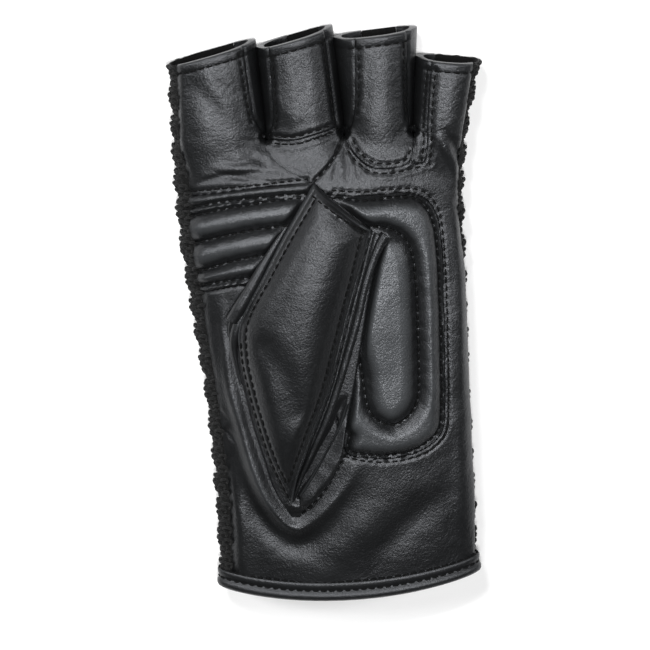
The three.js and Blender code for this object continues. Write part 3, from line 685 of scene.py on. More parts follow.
def palm_relief(plan, finger):
    """How far the palm's leather stands out of its smooth skin."""
    x, y = plan.T
    in_pad = inside_by(plan, OUTLINES["palm_pad"])
    relief = 0.30 * grain(plan, 19, 1) + 0.12 * grain(plan, 8, 2)
    for height, width, line in FOLDS:
        path = curve(line)
        distance, along = to_line(plan, path, 3 * width)
        fade = np.sin(np.pi * np.clip(along / travelled(path)[-1], 0, 1)) ** 0.9
        relief += height * fade * bell(distance, width)
    for row in FLAT_ROWS.values():
        relief += stitched(plan, row, *FLAT_GROOVE)
        relief += 0.14 * bell(to_line(plan, row, 5)[0] - 1.5, 0.8)
    for row in DEEP_ROWS.values():
        relief += stitched(plan, row, *DEEP_GROOVE)
    relief += LAP_HEIGHT * bell(in_pad - 0.45, 0.4)
    relief += finger_crown(plan)
    for foot_x, foot_y in CROTCHES:
        from_foot = np.hypot(x - foot_x, y - foot_y)
        relief += 0.45 * bell(from_foot - 2.6, 0.7) * smooth(2.0, 0.0, y - foot_y)
        relief -= 1.1 * bell(from_foot, 1.3)
    relief += pad_loft(plan, in_pad)
    on_pad = smooth(-1.0, 1.0, in_pad)
    for row in QUILT_ROWS.values():
        distance, along = to_line(plan, row, 6)
        pucker = np.cos(row_phase(row, along) / 2 + 2.5 * grain(plan, 4, 9))
        relief += 0.07 * pucker * bell(distance - 1.5, 1.3) * on_pad
        relief += stitched(plan, row, *QUILT_GROOVE)
    worn = np.clip(smooth(44, 52, y) + 0.4 * smooth(20, 34, x) + 0.25, 0, 1)
    for depth, *kind in WORN_CREASES:
        relief -= depth * worn * wrinkles(plan, *kind)
    relief -= BROAD_CREASES[0] * wrinkles(plan, *BROAD_CREASES[1:])
    seams = np.min([to_line(plan, closed(outline), 3)[0] for outline in OUTLINES.values()], axis=0)
    shallow = bell(to_line(plan, DIAGONAL_SEAM)[0], 1.2) + 0.8 * bell(to_line(plan, STITCH_SEAM)[0], 1.2)
    relief -= SEAM_DEPTH * (1 - 0.7 * np.minimum(shallow, 1)) * bell(seams, SEAM_WIDTH)
    below_hem = hem_distance(plan, finger)
    relief += 0.18 * smooth(HEM_BAND + 0.5, HEM_BAND - 0.2, below_hem)
    relief -= 0.22 * bell(below_hem - HEM_BAND, 0.6)
    return relief - 0.7 * (1 - oval(below_hem / 0.9, 2))


def slit_swell(sheet):
    """Where the strips swell into the slits, and how far, so that neighbouring fingers touch."""
    x, y, z = sheet["points"].T
    lines, gaps = finger_borders(y)
    from_each = np.abs(x - lines[1:4]) - gaps[1:4]
    from_slit = from_each.min(0)
    gap = np.take_along_axis(gaps[1:4], from_each.argmin(0)[None], 0)[0]
    folds = 0.05 * np.sin(z * 2.2 + 0.8 * grain(sheet["points"], 9, 77))
    share = (gap > 0) * bell(from_slit, 1.1) * bell(z - 5.5, 3.8)
    return share, gap * (1 + folds) + SLIT_PRESS


def side_seam(sheet):
    """Height over the side seam at the glove's two outer sides, and far above it elsewhere."""
    x, y, z = sheet["points"].T
    hand = section(y)
    lines, _ = finger_borders(y)
    at_left, at_right = x < (lines[0] + lines[1]) / 2, x > (lines[3] + lines[4]) / 2
    height = np.where(at_left, z - hand["seam_left"], np.where(at_right, z - hand["seam_right"], FAR))
    return np.where((sheet["side"] > 0) | at_left | at_right, height, -FAR)


# Back of the glove: the strips' wedges between the fingers, and the closure

# Each wedge: its middle at its foot and at its tip, the tip's width to either side, and the foot's width
WEDGES = {
    "fourchette_index_middle": (-19.0, -22.2, 10.0, 11.4, 6.4),
    "fourchette_middle_ring": (6.4, 3.25, 5.8, 9.6, 5.0),
    "fourchette_ring_little": (28.9, 29.8, 6.8, 8.6, 4.6),
}
WEDGE_FOOT_Y = 57.5
WEDGE_TIP_Y = 104.0
CLOSURE = {"x": 4.6, "y": -35.0, "turn": 0.065, "half": 22.0, "foot_half": 19.6, "length": 66.0}
BINDING_WIDTH = 3.2
TONGUE_EDGE = BINDING_WIDTH + 0.1
TAB = {"x": 6.4, "y": -71.5, "turn": -0.14, "width": 40.0, "height": 31.0, "corner": 2.5}
LOOP_STRIP = {"x": 7.3, "y": -76.5, "turn": 0.02, "width": 30.5, "height": 19.0, "corner": 1.0}


def arc(x, y, radius, start, end, steps):
    """Points on a circle, from one angle to another."""
    angles = np.linspace(start, end, steps + 1)
    return np.column_stack([x + radius * np.cos(angles), y + radius * np.sin(angles)])


def placed(points, place):
    """Points of a piece's own plan, turned and moved to its place on the glove."""
    c, s = math.cos(place["turn"]), math.sin(place["turn"])
    return np.asarray(points) @ np.array([[c, s], [-s, c]]) + [place["x"], place["y"]]


def wedge_outline(foot_x, tip_x, left, right, foot_width):
    """A strip's leather on the back: a round foot, and sides that spread to the fingertips."""
    radius = foot_width / 2
    foot = arc(foot_x, WEDGE_FOOT_Y + radius, radius, np.pi, 2 * np.pi, 12)
    return np.vstack([[(tip_x - left, WEDGE_TIP_Y)], foot, [(tip_x + right, WEDGE_TIP_Y)]])


def dome_outline(inset):
    """The closure's outline, smaller by an inset: a half circle over a tapered foot."""
    half, foot, length = CLOSURE["half"] - inset, CLOSURE["foot_half"] - inset, CLOSURE["length"]
    return placed(np.vstack([[(-foot, -length), (foot, -length)], arc(0, 0, half, 0, np.pi, 40)]), CLOSURE)


def dome_path(inset):
    """The closure's dome as an open path, from the right end of its foot round to the left end."""
    return curve(np.roll(dome_outline(inset), -1, axis=0), 0.7)


def plate_outline(plate, inset=0.0):
    """A rectangle with round corners, smaller by an inset."""
    corner = plate["corner"]
    a, b = plate["width"] / 2 - inset - corner, plate["height"] / 2 - inset - corner
    quarters = [(a, b, 0), (-a, b, 0.5), (-a, -b, 1), (a, -b, 1.5)]
    arcs = [arc(x, y, corner, q * np.pi, (q + 0.5) * np.pi, 6) for x, y, q in quarters]
    return placed(np.vstack(arcs), plate)


WEDGE_OUTLINES = {name: wedge_outline(*sizes) for name, sizes in WEDGES.items()}


def in_back_leather(plan, inset):
    """Distance of plan points inside the back's strips or its closure, smaller by an inset."""
    return np.max([inside_by(plan, line) for line in [*WEDGE_OUTLINES.values(), dome_outline(inset)]], axis=0)


# Finishes: a socket with Python's operators, and one method for any node


def new_node(tree, kind, settings, *values, **named):
    """A node with its settings, and then the values or links of its sockets, in order or by name."""
    node = tree.nodes.new(kind)
    for name, value in settings.items():
        if name == "stops":
            set_stops(node.color_ramp, value)
        else:
            setattr(node, name, value)
    for key, value in [*enumerate(values), *named.items()]:
        socket = node.inputs[key.replace("_", " ") if isinstance(key, str) else key]
        if isinstance(value, bpy.types.NodeSocket):
            tree.links.new(value, socket)
        elif value is not None:
            socket.default_value = value
    return node


def set_stops(ramp, stops):
    """Gives a ramp its stops, each a position and a grey value."""
    while len(ramp.elements) < len(stops):
        ramp.elements.new(0.5)
    for element, (position, value) in zip(ramp.elements, stops):
        element.position = position
        element.color = (value, value, value, 1)


class Wire:
    """A value in a material: its operators add Math nodes."""

    def __init__(self, finish, socket):
        self.finish = finish
        self.socket = socket

    def _math(self, operation, *values):
        return self.finish.node("ShaderNodeMath", {"operation": operation}, *values)

    def __add__(self, other):
        return self._math("ADD", self, other)

    def __sub__(self, other):
        return self._math("SUBTRACT", self, other)

    def __rsub__(self, other):
        return self._math("SUBTRACT", other, self)

    def __mul__(self, other):
        return self._math("MULTIPLY", self, other)

    __radd__ = __add__
    __rmul__ = __mul__

    def limited(self):
        return self.finish.node("ShaderNodeClamp", {}, self)


class Finish:
    """A material and its nodes."""

    def __init__(self, name):
        self.material = bpy.data.materials.new(name)
        self.material.use_nodes = True
        self.tree = self.material.node_tree
        self.tree.nodes.clear()
        self.place = self.node("ShaderNodeTexCoord", {}, out="Object")

    def node(self, kind, settings, *values, out=0, **named):
        values = [getattr(value, "socket", value) for value in values]
        named = {key: getattr(value, "socket", value) for key, value in named.items()}
        return Wire(self, new_node(self.tree, kind, settings, *values, **named).outputs[out])

    def noise(self, scale, detail=4.0, roughness=0.55, out=0):
        named = {"Vector": self.place, "Scale": scale, "Detail": detail, "Roughness": roughness}
        return self.node("ShaderNodeTexNoise", {}, out=out, **named)

    def cells(self, scale, feature, vector):
        settings = {"feature": feature}
        return self.node("ShaderNodeTexVoronoi", settings, Vector=vector, Scale=scale, out="Distance")

    def above(self, value, low, high):
        """0 up to the low value, and 1 from the high one on."""
        return self.node("ShaderNodeValToRGB", {"stops": [(low, 0.0), (high, 1.0)]}, value)

    def mix(self, share, a, b):
        """A colour between two colours."""
        return self.node("ShaderNodeMix", {"data_type": "RGBA"}, share, *[None] * 5, a, b, out=2)

    def bump(self, height, distance, strength, under=None):
        named = {"Height": height, "Distance": distance, "Strength": strength, "Normal": under}
        return self.node("ShaderNodeBump", {}, **named)

    def shade(self, **inputs):
        shader = self.node("ShaderNodeBsdfPrincipled", {}, **inputs)
        new_node(self.tree, "ShaderNodeOutputMaterial", {}, shader.socket)
        return self.material


def grey(value, warmth=0.0):
    """A grey with more red than blue, or less where its warmth is below zero."""
    return (value * (1 + warmth), value, value * (1 - warmth), 1)


# Tints: dyed leather and yarn lean to blue
LEATHER_WARMTH = -0.05
YARN_WARMTH = -0.03
# Lighter grey of worn crests and edges: partly real, partly a painted highlight
RUBBED_AND_SHEEN_LEATHER = grey(0.042, -0.06)
LEATHER_GLEAM = (0.92, 0.945, 1.0, 1.0)


def leather_finish(name, dark, light, roughness, pebble, grain_depth):
    """Dyed leather: pebbled grain with fine creases, duller in its pores, lighter on its edges and crests,
    partly worn and partly painted highlight.
    """
    finish = Finish(name)
    swirl = finish.noise(420.0, 2.0, 0.5, out="Color")
    warp = finish.node("ShaderNodeVectorMath", {"operation": "SCALE"}, swirl, Scale=0.0011)
    bent = finish.node("ShaderNodeVectorMath", {"operation": "ADD"}, finish.place, warp)
    pebbles = finish.cells(pebble, "SMOOTH_F1", bent)
    pores = finish.cells(pebble * 2.3, "F1", bent)
    broad = finish.noise(55.0, 3.0)
    speckle = finish.noise(pebble * 2.6, 5.0, 0.65)
    # How worn and how raised each place is: it lightens the tone, and past 0.6 turns it to the lighter grey,
    # partly real and partly painted highlight
    worn = finish.node("ShaderNodeAttribute", {"attribute_name": "wear"}, out="Fac")
    tone = (broad * 0.7 + speckle * 0.5 + worn * 0.75 - 0.25).limited()
    dyed = finish.mix(tone, grey(dark, LEATHER_WARMTH), grey(light, LEATHER_WARMTH))
    colour = finish.mix(finish.above(worn, 0.6, 1.0), dyed, RUBBED_AND_SHEEN_LEATHER)
    dullness = (roughness - 0.10 + pebbles * 0.10 + broad * 0.13 - worn * 0.06).limited()
    height = pebbles * 0.8 + pores * 0.3 + speckle * 0.5
    grained = finish.bump(height, grain_depth, 0.75)
    creased = finish.bump(finish.noise(330.0, 5.0), grain_depth * 3.0, 0.16, grained)
    return finish.shade(
        Base_Color=colour,
        Roughness=dullness,
        Normal=creased,
        Specular_IOR_Level=0.5,
        Specular_Tint=LEATHER_GLEAM,
    )


def knit_finish(name, dark, light):
    """Matte spun yarn with fine twisted fibres, and a faint sparkle of glossier flecks whose lighter colour
    is a painted glint.
    """
    finish = Finish(name)
    fibres = finish.noise(2600.0, 4.0, 0.7)
    tufts = finish.noise(700.0, 3.0)
    sparkle = finish.above(finish.noise(1900.0, 2.0), 0.62, 0.72)
    # The sparkle lightens the colour as well as the roughness: a painted glint
    tone = (tufts * 0.55 + sparkle * 0.6 - 0.1).limited()
    return finish.shade(
        Base_Color=finish.mix(tone, grey(dark, YARN_WARMTH), grey(light, YARN_WARMTH)),
        Roughness=(0.95 - sparkle * 0.25).limited(),
        Normal=finish.bump(fibres + tufts * 0.6, 0.0004, 0.9),
        Sheen_Weight=0.06,
        Sheen_Roughness=0.5,
        Specular_IOR_Level=0.25,
    )


def thread_finish(name, dark, light, shine):
    """Twisted polyester thread."""
    finish = Finish(name)
    strands = finish.noise(3200.0, 3.0)
    tone = (strands * 1.1 - 0.1).limited()
    return finish.shade(
        Base_Color=finish.mix(tone, grey(dark, YARN_WARMTH), grey(light, YARN_WARMTH)),
        Roughness=0.6 + strands * 0.25,
        Normal=finish.bump(strands, 0.00012, 0.8),
        Specular_IOR_Level=shine,
    )


def loop_finish(name, dark, light):
    """Brushed loop tape."""
    finish = Finish(name)
    fuzz = finish.noise(2400.0, 5.0, 0.75)
    return finish.shade(
        Base_Color=finish.mix((fuzz * 1.3 - 0.25).limited(), grey(dark), grey(light)),
        Roughness=(0.85 + fuzz * 0.15).limited(),
        Normal=finish.bump(fuzz, 0.0005, 1.0),
        Specular_IOR_Level=0.2,
    )


FINISHES = {
    "leather": leather_finish("leather", 0.0028, 0.0095, 0.36, 1650.0, 0.00013),
    "strap_leather": leather_finish("strap_leather", 0.003, 0.010, 0.42, 1900.0, 0.00011),
    "knit": knit_finish("knit_yarn", 0.004, 0.018),
    # The layer under the loops is the same yarn made darker: painted shade between the loops
    "knit_shaded_under": knit_finish("knit_shaded_under_layer", 0.001, 0.004),
    "thread": thread_finish("thread", 0.0015, 0.005, 0.12),
    "back_thread": thread_finish("back_thread", 0.05, 0.16, 0.4),
    "loop_tape": loop_finish("loop_tape", 0.006, 0.03),
}
# Slots of the finishes that aren't named for their slot
SLOTS = {"knit_shaded_under": "knit", "back_thread": "thread"}

# Meshes and pieces


def add_object(name, data):
    thing = bpy.data.objects.new(name, data)
    bpy.context.scene.collection.objects.link(thing)
    return thing


def declare(piece, slot, *nodes):
    """Ties a piece to the glove's one body and hides the nodes of the solids that it stands for; its slot is
    not used.
    """
    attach(piece, "root")
    if nodes:
        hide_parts(*nodes)
    return piece


def make_piece(name, points, faces, finish, node, wear=None, sharp=50):
    """A piece in the frame that stands for a node of the solids, from points in plan millimetres."""
    mesh = bpy.data.meshes.new(name)
    mesh.vertices.add(len(points))
    mesh.vertices.foreach_set("co", ((points + PLAN_SHIFT) * MM).astype(np.float32).ravel())
    mesh.loops.add(faces.size)
    mesh.loops.foreach_set("vertex_index", faces.astype(np.int32).ravel())
    mesh.polygons.add(len(faces))
    mesh.polygons.foreach_set("loop_start", np.arange(0, faces.size, 3, dtype=np.int32))
    mesh.update(calc_edges=True)
    mesh.validate()
    mesh.shade_smooth()
    mesh.set_sharp_from_angle(angle=math.radians(sharp))
    # Per-point lightening of the leather's colour, partly worn and partly painted highlight on crests and
    # edges
    if wear is not None:
        layer = mesh.attributes.new("wear", "FLOAT", "POINT")
        layer.data.foreach_set("value", np.broadcast_to(wear, len(points)).astype(np.float32))
    mesh.materials.append(FINISHES[finish])
    return declare(add_object(name, mesh), SLOTS.get(finish, finish), node)


def skin_piece(name, sheet, lift, inner_lift, finish, node, worn=True):
    """A piece over a sheet of the skin, from the heights of its outer and inner faces over the sheet."""
    lifts = np.stack([lift, np.broadcast_to(inner_lift, len(lift))])[..., None]
    points, faces = shell(*(sheet["points"] + sheet["normals"] * lifts), sheet["faces"])
    points[:, 2] = np.maximum(points[:, 2], FLOOR_Z)
    # Leather is lighter along its raised places, and not inside: partly worn, partly a painted highlight on
    # the crests
    wear = np.concatenate([np.clip(lift * 0.32 + 0.12, 0, 1), np.zeros(len(lift))])
    return make_piece(name, points, faces, finish, node, wear if worn else None)


# Small pieces laid by Geometry Nodes along paths or on points


def laid_tree(name, on_path):
    """A tree that lays copies of a small piece along paths, or on points, by their normal and heading."""
    tree = bpy.data.node_groups.new(name, "GeometryNodeTree")
    tree.interface.new_socket("Geometry", in_out="OUTPUT", socket_type="NodeSocketGeometry")
    inputs = {
        "Geometry": "Geometry", "Piece": "Object", "Finish": "Material",
        "Pitch": "Float", "Size Spread": "Float", "Seed": "Int",
    }
    for label, kind in inputs.items():
        tree.interface.new_socket(label, in_out="INPUT", socket_type="NodeSocket" + kind)
    node = partial(new_node, tree)
    given = tree.nodes.new("NodeGroupInput").outputs
    points = given["Geometry"]
    vector = {"data_type": "FLOAT_VECTOR"}
    normal = node("GeometryNodeInputNamedAttribute", vector, Name="normal").outputs[0]
    if on_path:
        path = node("GeometryNodeMeshToCurve", {}, Mesh=points).outputs[0]
        path = node("GeometryNodeResampleCurve", {"mode": "LENGTH"}, Curve=path, Length=given["Pitch"])
        points = path.outputs[0]
        heading = node("GeometryNodeInputTangent", {}).outputs[0]
    else:
        heading = node("GeometryNodeInputNamedAttribute", vector, Name="heading").outputs[0]
    align = "FunctionNodeAlignRotationToVector"
    upright = node(align, {"axis": "Z"}, Vector=normal).outputs[0]
    turned = node(align, {"axis": "X", "pivot_axis": "Z"}, Rotation=upright, Vector=heading).outputs[0]
    spread = given["Size Spread"]
    low = node("ShaderNodeMath", {"operation": "SUBTRACT"}, 1.0, spread).outputs[0]
    high = node("ShaderNodeMath", {"operation": "ADD"}, 1.0, spread).outputs[0]
    size = node("FunctionNodeRandomValue", {"data_type": "FLOAT"}, None, None, low, high, Seed=given["Seed"])
    piece = node("GeometryNodeObjectInfo", {}, Object=given["Piece"]).outputs["Geometry"]
    copies = {"Points": points, "Instance": piece, "Rotation": turned, "Scale": size.outputs[1]}
    laid = node("GeometryNodeInstanceOnPoints", {}, **copies).outputs[0]
    whole = node("GeometryNodeRealizeInstances", {}, Geometry=laid).outputs[0]
    shown = node("GeometryNodeSetMaterial", {}, Geometry=whole, Material=given["Finish"]).outputs[0]
    node("NodeGroupOutput", {}, shown)
    return tree


PATH_TREE = laid_tree("laid_along_paths", True)
POINT_TREE = laid_tree("laid_on_points", False)


def small_piece(name, points, faces):
    """A piece for a tree to copy, in metres round its own origin."""
    mesh = bpy.data.meshes.new(name)
    mesh.from_pydata((points * MM).tolist(), [], faces.tolist())
    mesh.shade_smooth()
    return bpy.data.objects.new(name, mesh)


def lay(name, tree, piece, finish, points, edges, columns, settings):
    """Runs a tree on points or paths, and keeps the result as a plain mesh."""
    mesh = bpy.data.meshes.new(name)
    mesh.from_pydata(((points + PLAN_SHIFT) * MM).tolist(), edges, [])
    for key, values in columns.items():
        layer = mesh.attributes.new(key, "FLOAT_VECTOR", "POINT")
        layer.data.foreach_set("vector", values.astype(np.float32).ravel())
    carrier = add_object(name + "_carrier", mesh)
    modifier = carrier.modifiers.new("laid", "NODES")
    modifier.node_group = tree
    values = {"Piece": piece, "Finish": FINISHES[finish], **settings}
    for item in tree.interface.items_tree:
        if item.in_out == "INPUT" and item.name in values:
            modifier[item.identifier] = values[item.name]
    graph = bpy.context.evaluated_depsgraph_get()
    shown = carrier.evaluated_get(graph)
    made = bpy.data.meshes.new_from_object(shown, preserve_all_data_layers=False, depsgraph=graph)
    carrier.modifiers.clear()
    bpy.data.objects.remove(carrier)
    made.name = name
    made.shade_smooth()
    made.materials.clear()
    made.materials.append(FINISHES[finish])
    return add_object(name, made)


# Thumb: a flattened tube with a panel that shows, on a panel that lies against the palm

# Rows from the tip of the thumb's seam to its mouth: number, rise, then the left and right edges of the front
# and of the back
THUMB_SECTIONS = [
    (0, 2.6, -11.6, -59.6, -10.4, -59.0, -10.6, -64.6, -8.0, -63.6),
    (1, 4.0, -15.0, -52.0, -9.0, -51.4, -16.6, -54.6, 0.2, -54.2),
    (2, 5.6, -18.4, -44.2, -6.2, -42.4, -19.8, -44.6, 5.4, -44.6),
    (3, 7.4, -22.0, -33.0, -2.4, -31.6, -23.4, -33.2, 7.6, -31.4),
    (4, 8.8, -25.4, -20.6, 1.8, -19.8, -26.4, -20.8, 10.0, -18.4),
    (5, 9.6, -27.8, -8.4, 5.2, -6.4, -29.4, -8.8, 12.2, -5.0),
    (6, 10.0, -27.4, 3.0, 8.4, 7.0, -31.2, 2.4, 14.2, 8.0),
    (7, 9.8, -19.9, 18.4, 11.6, 19.4, -21.6, 18.4, 16.4, 19.8),
    (8, 9.7, -12.4, 33.0, 13.6, 27.6, -12.8, 32.6, 18.0, 26.4),
    (9, 9.2, -3.4, 48.6, 15.2, 33.4, -3.0, 47.4, 18.8, 30.2),
]
THUMB_LIFT = 0.45
THUMB_WALL = 1.35
THUMB_EDGE = 2.9
THUMB_GAP = 0.3
THUMB_LIP = 2.7
THUMB_SWELL = 0.75
THUMB_DENT = curve([(-19, -4), (-13, -14), (-9, -26)])
FRONT_GRID = (200, 84)
BACK_GRID = (176, 72)
FRONT_ROUND = 0.8
BACK_ROUND = 0.7
# Rows of the grid at which the sewn rows start, and columns that the row at the mouth leaves out on each side
LIP_ROW_START = 26
SEWN_ROW_START = 10
MOUTH_ROW_ENDS = 12
SEWN_ROW = 0.95
SEWN_TO_Y = -5
THUMB_ROUNDNESS = 2.6
THUMB_HOLE = {"x": -13.5, "y": -21.0, "turn": 0.1}
THUMB_HOLE_HALVES = (6.5, 19.0)


def thumb_hole():
    """The oval opening in the palm under the thumb."""
    return placed(arc(0, 0, 1, 0, 2 * np.pi, 40)[:-1] * THUMB_HOLE_HALVES, THUMB_HOLE)


def thumb_edges(side, count, low=0):
    """Rise, left edge and right edge of a thumb panel, in rows from one of its sections up to its mouth."""
    rows = through_rows(THUMB_SECTIONS, np.linspace(low, len(THUMB_SECTIONS) - 1, count))
    first = 1 if side == "front" else 5
    return rows[:, :1], rows[:, first:first + 2], rows[:, first + 2:first + 4]


def thumb_outline():
    _, left, right = thumb_edges("back", 91)
    return np.vstack([left, right[::-1]])


def thumb_grid(side, rows, columns):
    """Plan points between the side edges of a thumb panel, close together at those edges."""
    rise, left, right = thumb_edges(side, rows)
    across = lerp(np.linspace(0, 1, columns), close_ends(columns), 0.55)[None]
    plan = lerp(left[:, None], right[:, None], across[..., None])
    from_side = np.minimum(across, 1 - across) * np.hypot(*(right - left).T)[:, None]
    return plan, np.broadcast_to(rise, plan.shape[:2]), from_side, 2 * across - 1


def palm_base(plan):
    """Height of the palm under a grid of the thumb."""
    flat = plan.reshape(-1, 2)
    return skin_z(*flat.T, 1).reshape(plan.shape[:-1]) + THUMB_LIFT


def grid_normals(grid):
    """Normals of a grid of points, on its upper side."""
    normals = np.cross(np.gradient(grid, axis=1), np.gradient(grid, axis=0))
    return unit(normals) * np.sign(normals[..., 2:])


def inset_row(grid, normals, side, inset, low, high):
    """A line over a grid at an inset from its left or right edge, between two of its rows."""
    order = slice(None) if side == "left" else slice(None, None, -1)
    found = []
    for row in np.dstack([grid, normals])[low:high, order]:
        along = travelled(row[:, :2])
        if along[-1] > 2.2 * inset:
            found.append(points_at(inset, along, row)[0])
    return np.hsplit(np.array(found), 2)


def thumb_front():
    """The thumb's front panel, and its rows of stitches."""
    plan, rise, from_side, across = thumb_grid("front", *FRONT_GRID)
    flat = plan.reshape(-1, 2)
    shape = rise.shape

    def over(values):
        return values.reshape(shape)

    mouth = over(to_line(flat, plan[-1], 12)[0]) + 0.02
    edge = np.minimum(from_side, mouth)
    sewn_down = smooth(-3, -10, plan[..., 1]) * (across < 0)
    round_edge = oval(edge / FRONT_ROUND, 2)
    at_mouth = smooth(3.0, -3.0, mouth - from_side)
    crown = np.maximum(rise - THUMB_EDGE, 0) * (1 - np.abs(across) ** THUMB_ROUNDNESS)
    rim = 0.62 * bell(edge - 0.45, 0.4) * (1 - sewn_down) - 0.3 * sewn_down * bell(edge - SEWN_ROW, 0.4)
    band = lerp(0.22, -0.2, at_mouth) * smooth(0.5, 2.2, edge) * smooth(6.5, 3.0, edge)
    groove = 0.42 * bell(edge - THUMB_LIP, 0.55)
    swell = THUMB_SWELL * smooth(THUMB_LIP, THUMB_LIP + lerp(4.2, 7.0, at_mouth), edge)
    broad = 0.3 * over(grain(flat, 16, 51))
    fine = 0.03 * over(wrinkles(flat, 2.6, 61, 0.9, 1.6)) + 0.05 * over(wrinkles(flat, 9, 71, 0.9, 1.5))
    dent = 0.9 * over(bell(to_line(flat, THUMB_DENT, 14)[0], 4.5))
    relief = rim + band + swell - groove + (broad - dent) * smooth(3, 8, edge) - fine
    under = THUMB_WALL + THUMB_GAP
    top = under + (THUMB_EDGE - under) * round_edge + crown + relief * round_edge
    up_thumb = np.linspace(0, len(THUMB_SECTIONS) - 1, len(rise))[:, None]
    hollow = smooth(1.6, 3.0, from_side) * smooth(1.5, 2.5, up_thumb)
    low = np.minimum(lerp(under, np.maximum(top - THUMB_WALL, under), hollow), top - 0.02)
    base = palm_base(plan)
    outer, inner = np.dstack([plan, base + top]), np.dstack([plan, base + low])
    points, faces = shell(outer.reshape(-1, 3), inner.reshape(-1, 3), numbered_faces(*shape))
    # The rims and the band beside them are lighter: partly worn, partly a painted highlight
    edge_wear_and_sheen = 0.12 + 0.85 * bell(edge - 0.35, 0.4) * (1 - sewn_down) + 0.1 * band
    wear = np.concatenate([edge_wear_and_sheen.ravel(), np.zeros(rise.size)])
    make_piece("thumb_front_panel", points, faces, "leather", "thumb_front", wear)
    normals = grid_normals(outer)
    last = int(np.argmax(mouth[:, 0] < THUMB_LIP + 1.2)) - 1
    sewn_last = int(np.argmax(plan[:, 0, 1] > SEWN_TO_Y))
    row_step = np.abs(np.diff(plan[-31:, shape[1] // 2 + 2], axis=0)).sum(1).mean()
    mouth_row = shape[0] - 1 - int(round(THUMB_LIP / row_step))
    inside = slice(MOUTH_ROW_ENDS, -MOUTH_ROW_ENDS)
    return [
        inset_row(outer, normals, "left", THUMB_LIP, LIP_ROW_START, last),
        inset_row(outer, normals, "left", SEWN_ROW, SEWN_ROW_START, sewn_last),
        inset_row(outer, normals, "right", THUMB_LIP + 0.2, LIP_ROW_START, mouth_row),
        (outer[mouth_row, inside], normals[mouth_row, inside]),
    ]


THUMB_TORN_EDGE = curve([(7.4, -24.6), (5.0, -32.4), (1.6, -38.9), (-3.4, -48.6), (-8.0, -56.6)])
THUMB_SLOT = curve([(5.6, -25.6), (3.2, -33.4), (-0.2, -40.2), (-4.6, -48.6), (-7.6, -54.0)])
SLOT_LENGTH = 31.5
SLOT_HALF_WIDTH = 1.15
THUMB_GUSSET = curve([(8.2, -33), (5.4, -42), (0.2, -50.6), (-6.4, -59.5)])


def thumb_back():
    """The thumb's back panel, with its torn lower end and the slot beside it."""
    plan, _, from_side, across = thumb_grid("back", *BACK_GRID)
    flat = plan.reshape(-1, 2)
    shape = from_side.shape
    y = flat[:, 1]
    share = np.linspace(0, 1, len(plan))[:, None]
    left_roll = smooth(0.62, 0.7, share) * (across < 0)
    tube = 1.1 * left_roll * np.sqrt(np.clip(1 - (from_side - 1.0) ** 2, 0, 1))
    torn, _ = to_line(flat, THUMB_TORN_EDGE, 8)
    gusset, _ = to_line(flat, THUMB_GUSSET, 8)
    beside = flat[:, 0] - np.interp(y, *THUMB_TORN_EDGE[::-1, ::-1].T)
    low_end = smooth(-20, -27, y)
    gap = -1.25 * bell(torn - 1.5, 1.5) * (beside < 0) * low_end
    low_end = low_end * smooth(-63, -57, y)
    raw = (0.5 * bell(torn, 0.35) + 1.3 * bell(gusset, 2.3) * smooth(-0.3, 1.2, beside)) * low_end
    beside_front, _ = to_line(flat, thumb_edges("front", 90, 1)[2], 6)
    valley = -0.75 * bell(beside_front - 0.9, 0.8) * smooth(-58, -50, y)
    crumple = 0.25 * grain(flat, 5, 81) * smooth(-30, -52, y)
    relief = (gap + raw + crumple + valley).reshape(shape)
    at_tip = smooth(0.0, 0.05, share)
    top = (THUMB_WALL + tube + relief) * (0.15 + 0.85 * oval(from_side / BACK_ROUND, 2) * at_tip)
    base = palm_base(plan)
    sheet = {
        "faces": numbered_faces(*shape),
        "outer": np.dstack([plan, base + np.maximum(top, 0.12)]).reshape(-1, 3),
        "inner": np.dstack([plan, base]).reshape(-1, 3),
        # The roll and the torn edge are lighter: partly worn, partly a painted highlight
        "wear": (0.15 + 0.4 * tube).ravel() + 0.7 * bell(torn, 0.4) * low_end,
    }
    slot, along = to_line(flat, THUMB_SLOT, 6)
    width = SLOT_HALF_WIDTH * np.sin(np.pi * np.clip(along / SLOT_LENGTH, 0, 1)) ** 0.7
    sheet = cut(sheet, np.minimum(-inside_by(flat, thumb_hole()), slot - width))
    points, faces = shell(sheet["outer"], sheet["inner"], sheet["faces"])
    make_piece("thumb_back_panel", points, faces, "leather", "thumb_back", np.tile(sheet["wear"], 2))


# Rolled edges of the thumb's layers, each a strip of leather bent round an open tube:
# its line as x, y, height over the palm and radius, and the turns where the bend starts and ends
THUMB_ROLLS = {
    "thumb_right_roll": (
        [(20.0, 31.4, 2.6, 2.0), (18.0, 28.4, 2.5, 1.6), (15.3, 21.8, 2.5, 1.3), (13.0, 14.0, 2.6, 1.25),
         (10.9, 4.3, 2.6, 1.25), (8.0, -6.5, 2.6, 1.25), (4.7, -18.0, 2.5, 1.25), (0.8, -30.0, 2.3, 1.2),
         (-3.8, -41.0, 1.9, 1.0), (-7.9, -51.0, 1.4, 0.8), (-10.4, -59.2, 0.9, 0.5)],
        (-0.35, 1.1),
    ),
    "thumb_left_roll": (
        [(-12.6, 33.6, 2.2, 0.6), (-15.2, 29.4, 2.4, 1.0), (-19.6, 21.8, 2.6, 1.5), (-24.6, 12.6, 2.9, 2.0),
         (-27.6, 7.2, 3.1, 2.2), (-30.0, 3.0, 3.1, 2.1)],
        (-0.1, 1.35),
    ),
    "thumb_left_fold": (
        [(-24.6, 9.0, 2.0, 1.2), (-27.0, 4.0, 2.3, 1.6), (-28.8, -1.0, 2.3, 1.7), (-29.4, -6.0, 1.9, 1.4),
         (-28.6, -12.0, 1.3, 0.9), (-27.2, -19.0, 0.8, 0.5)],
        (-0.1, 1.15),
    ),
}
ROLL_WALL = 0.5
ROLL_SINK = 0.5


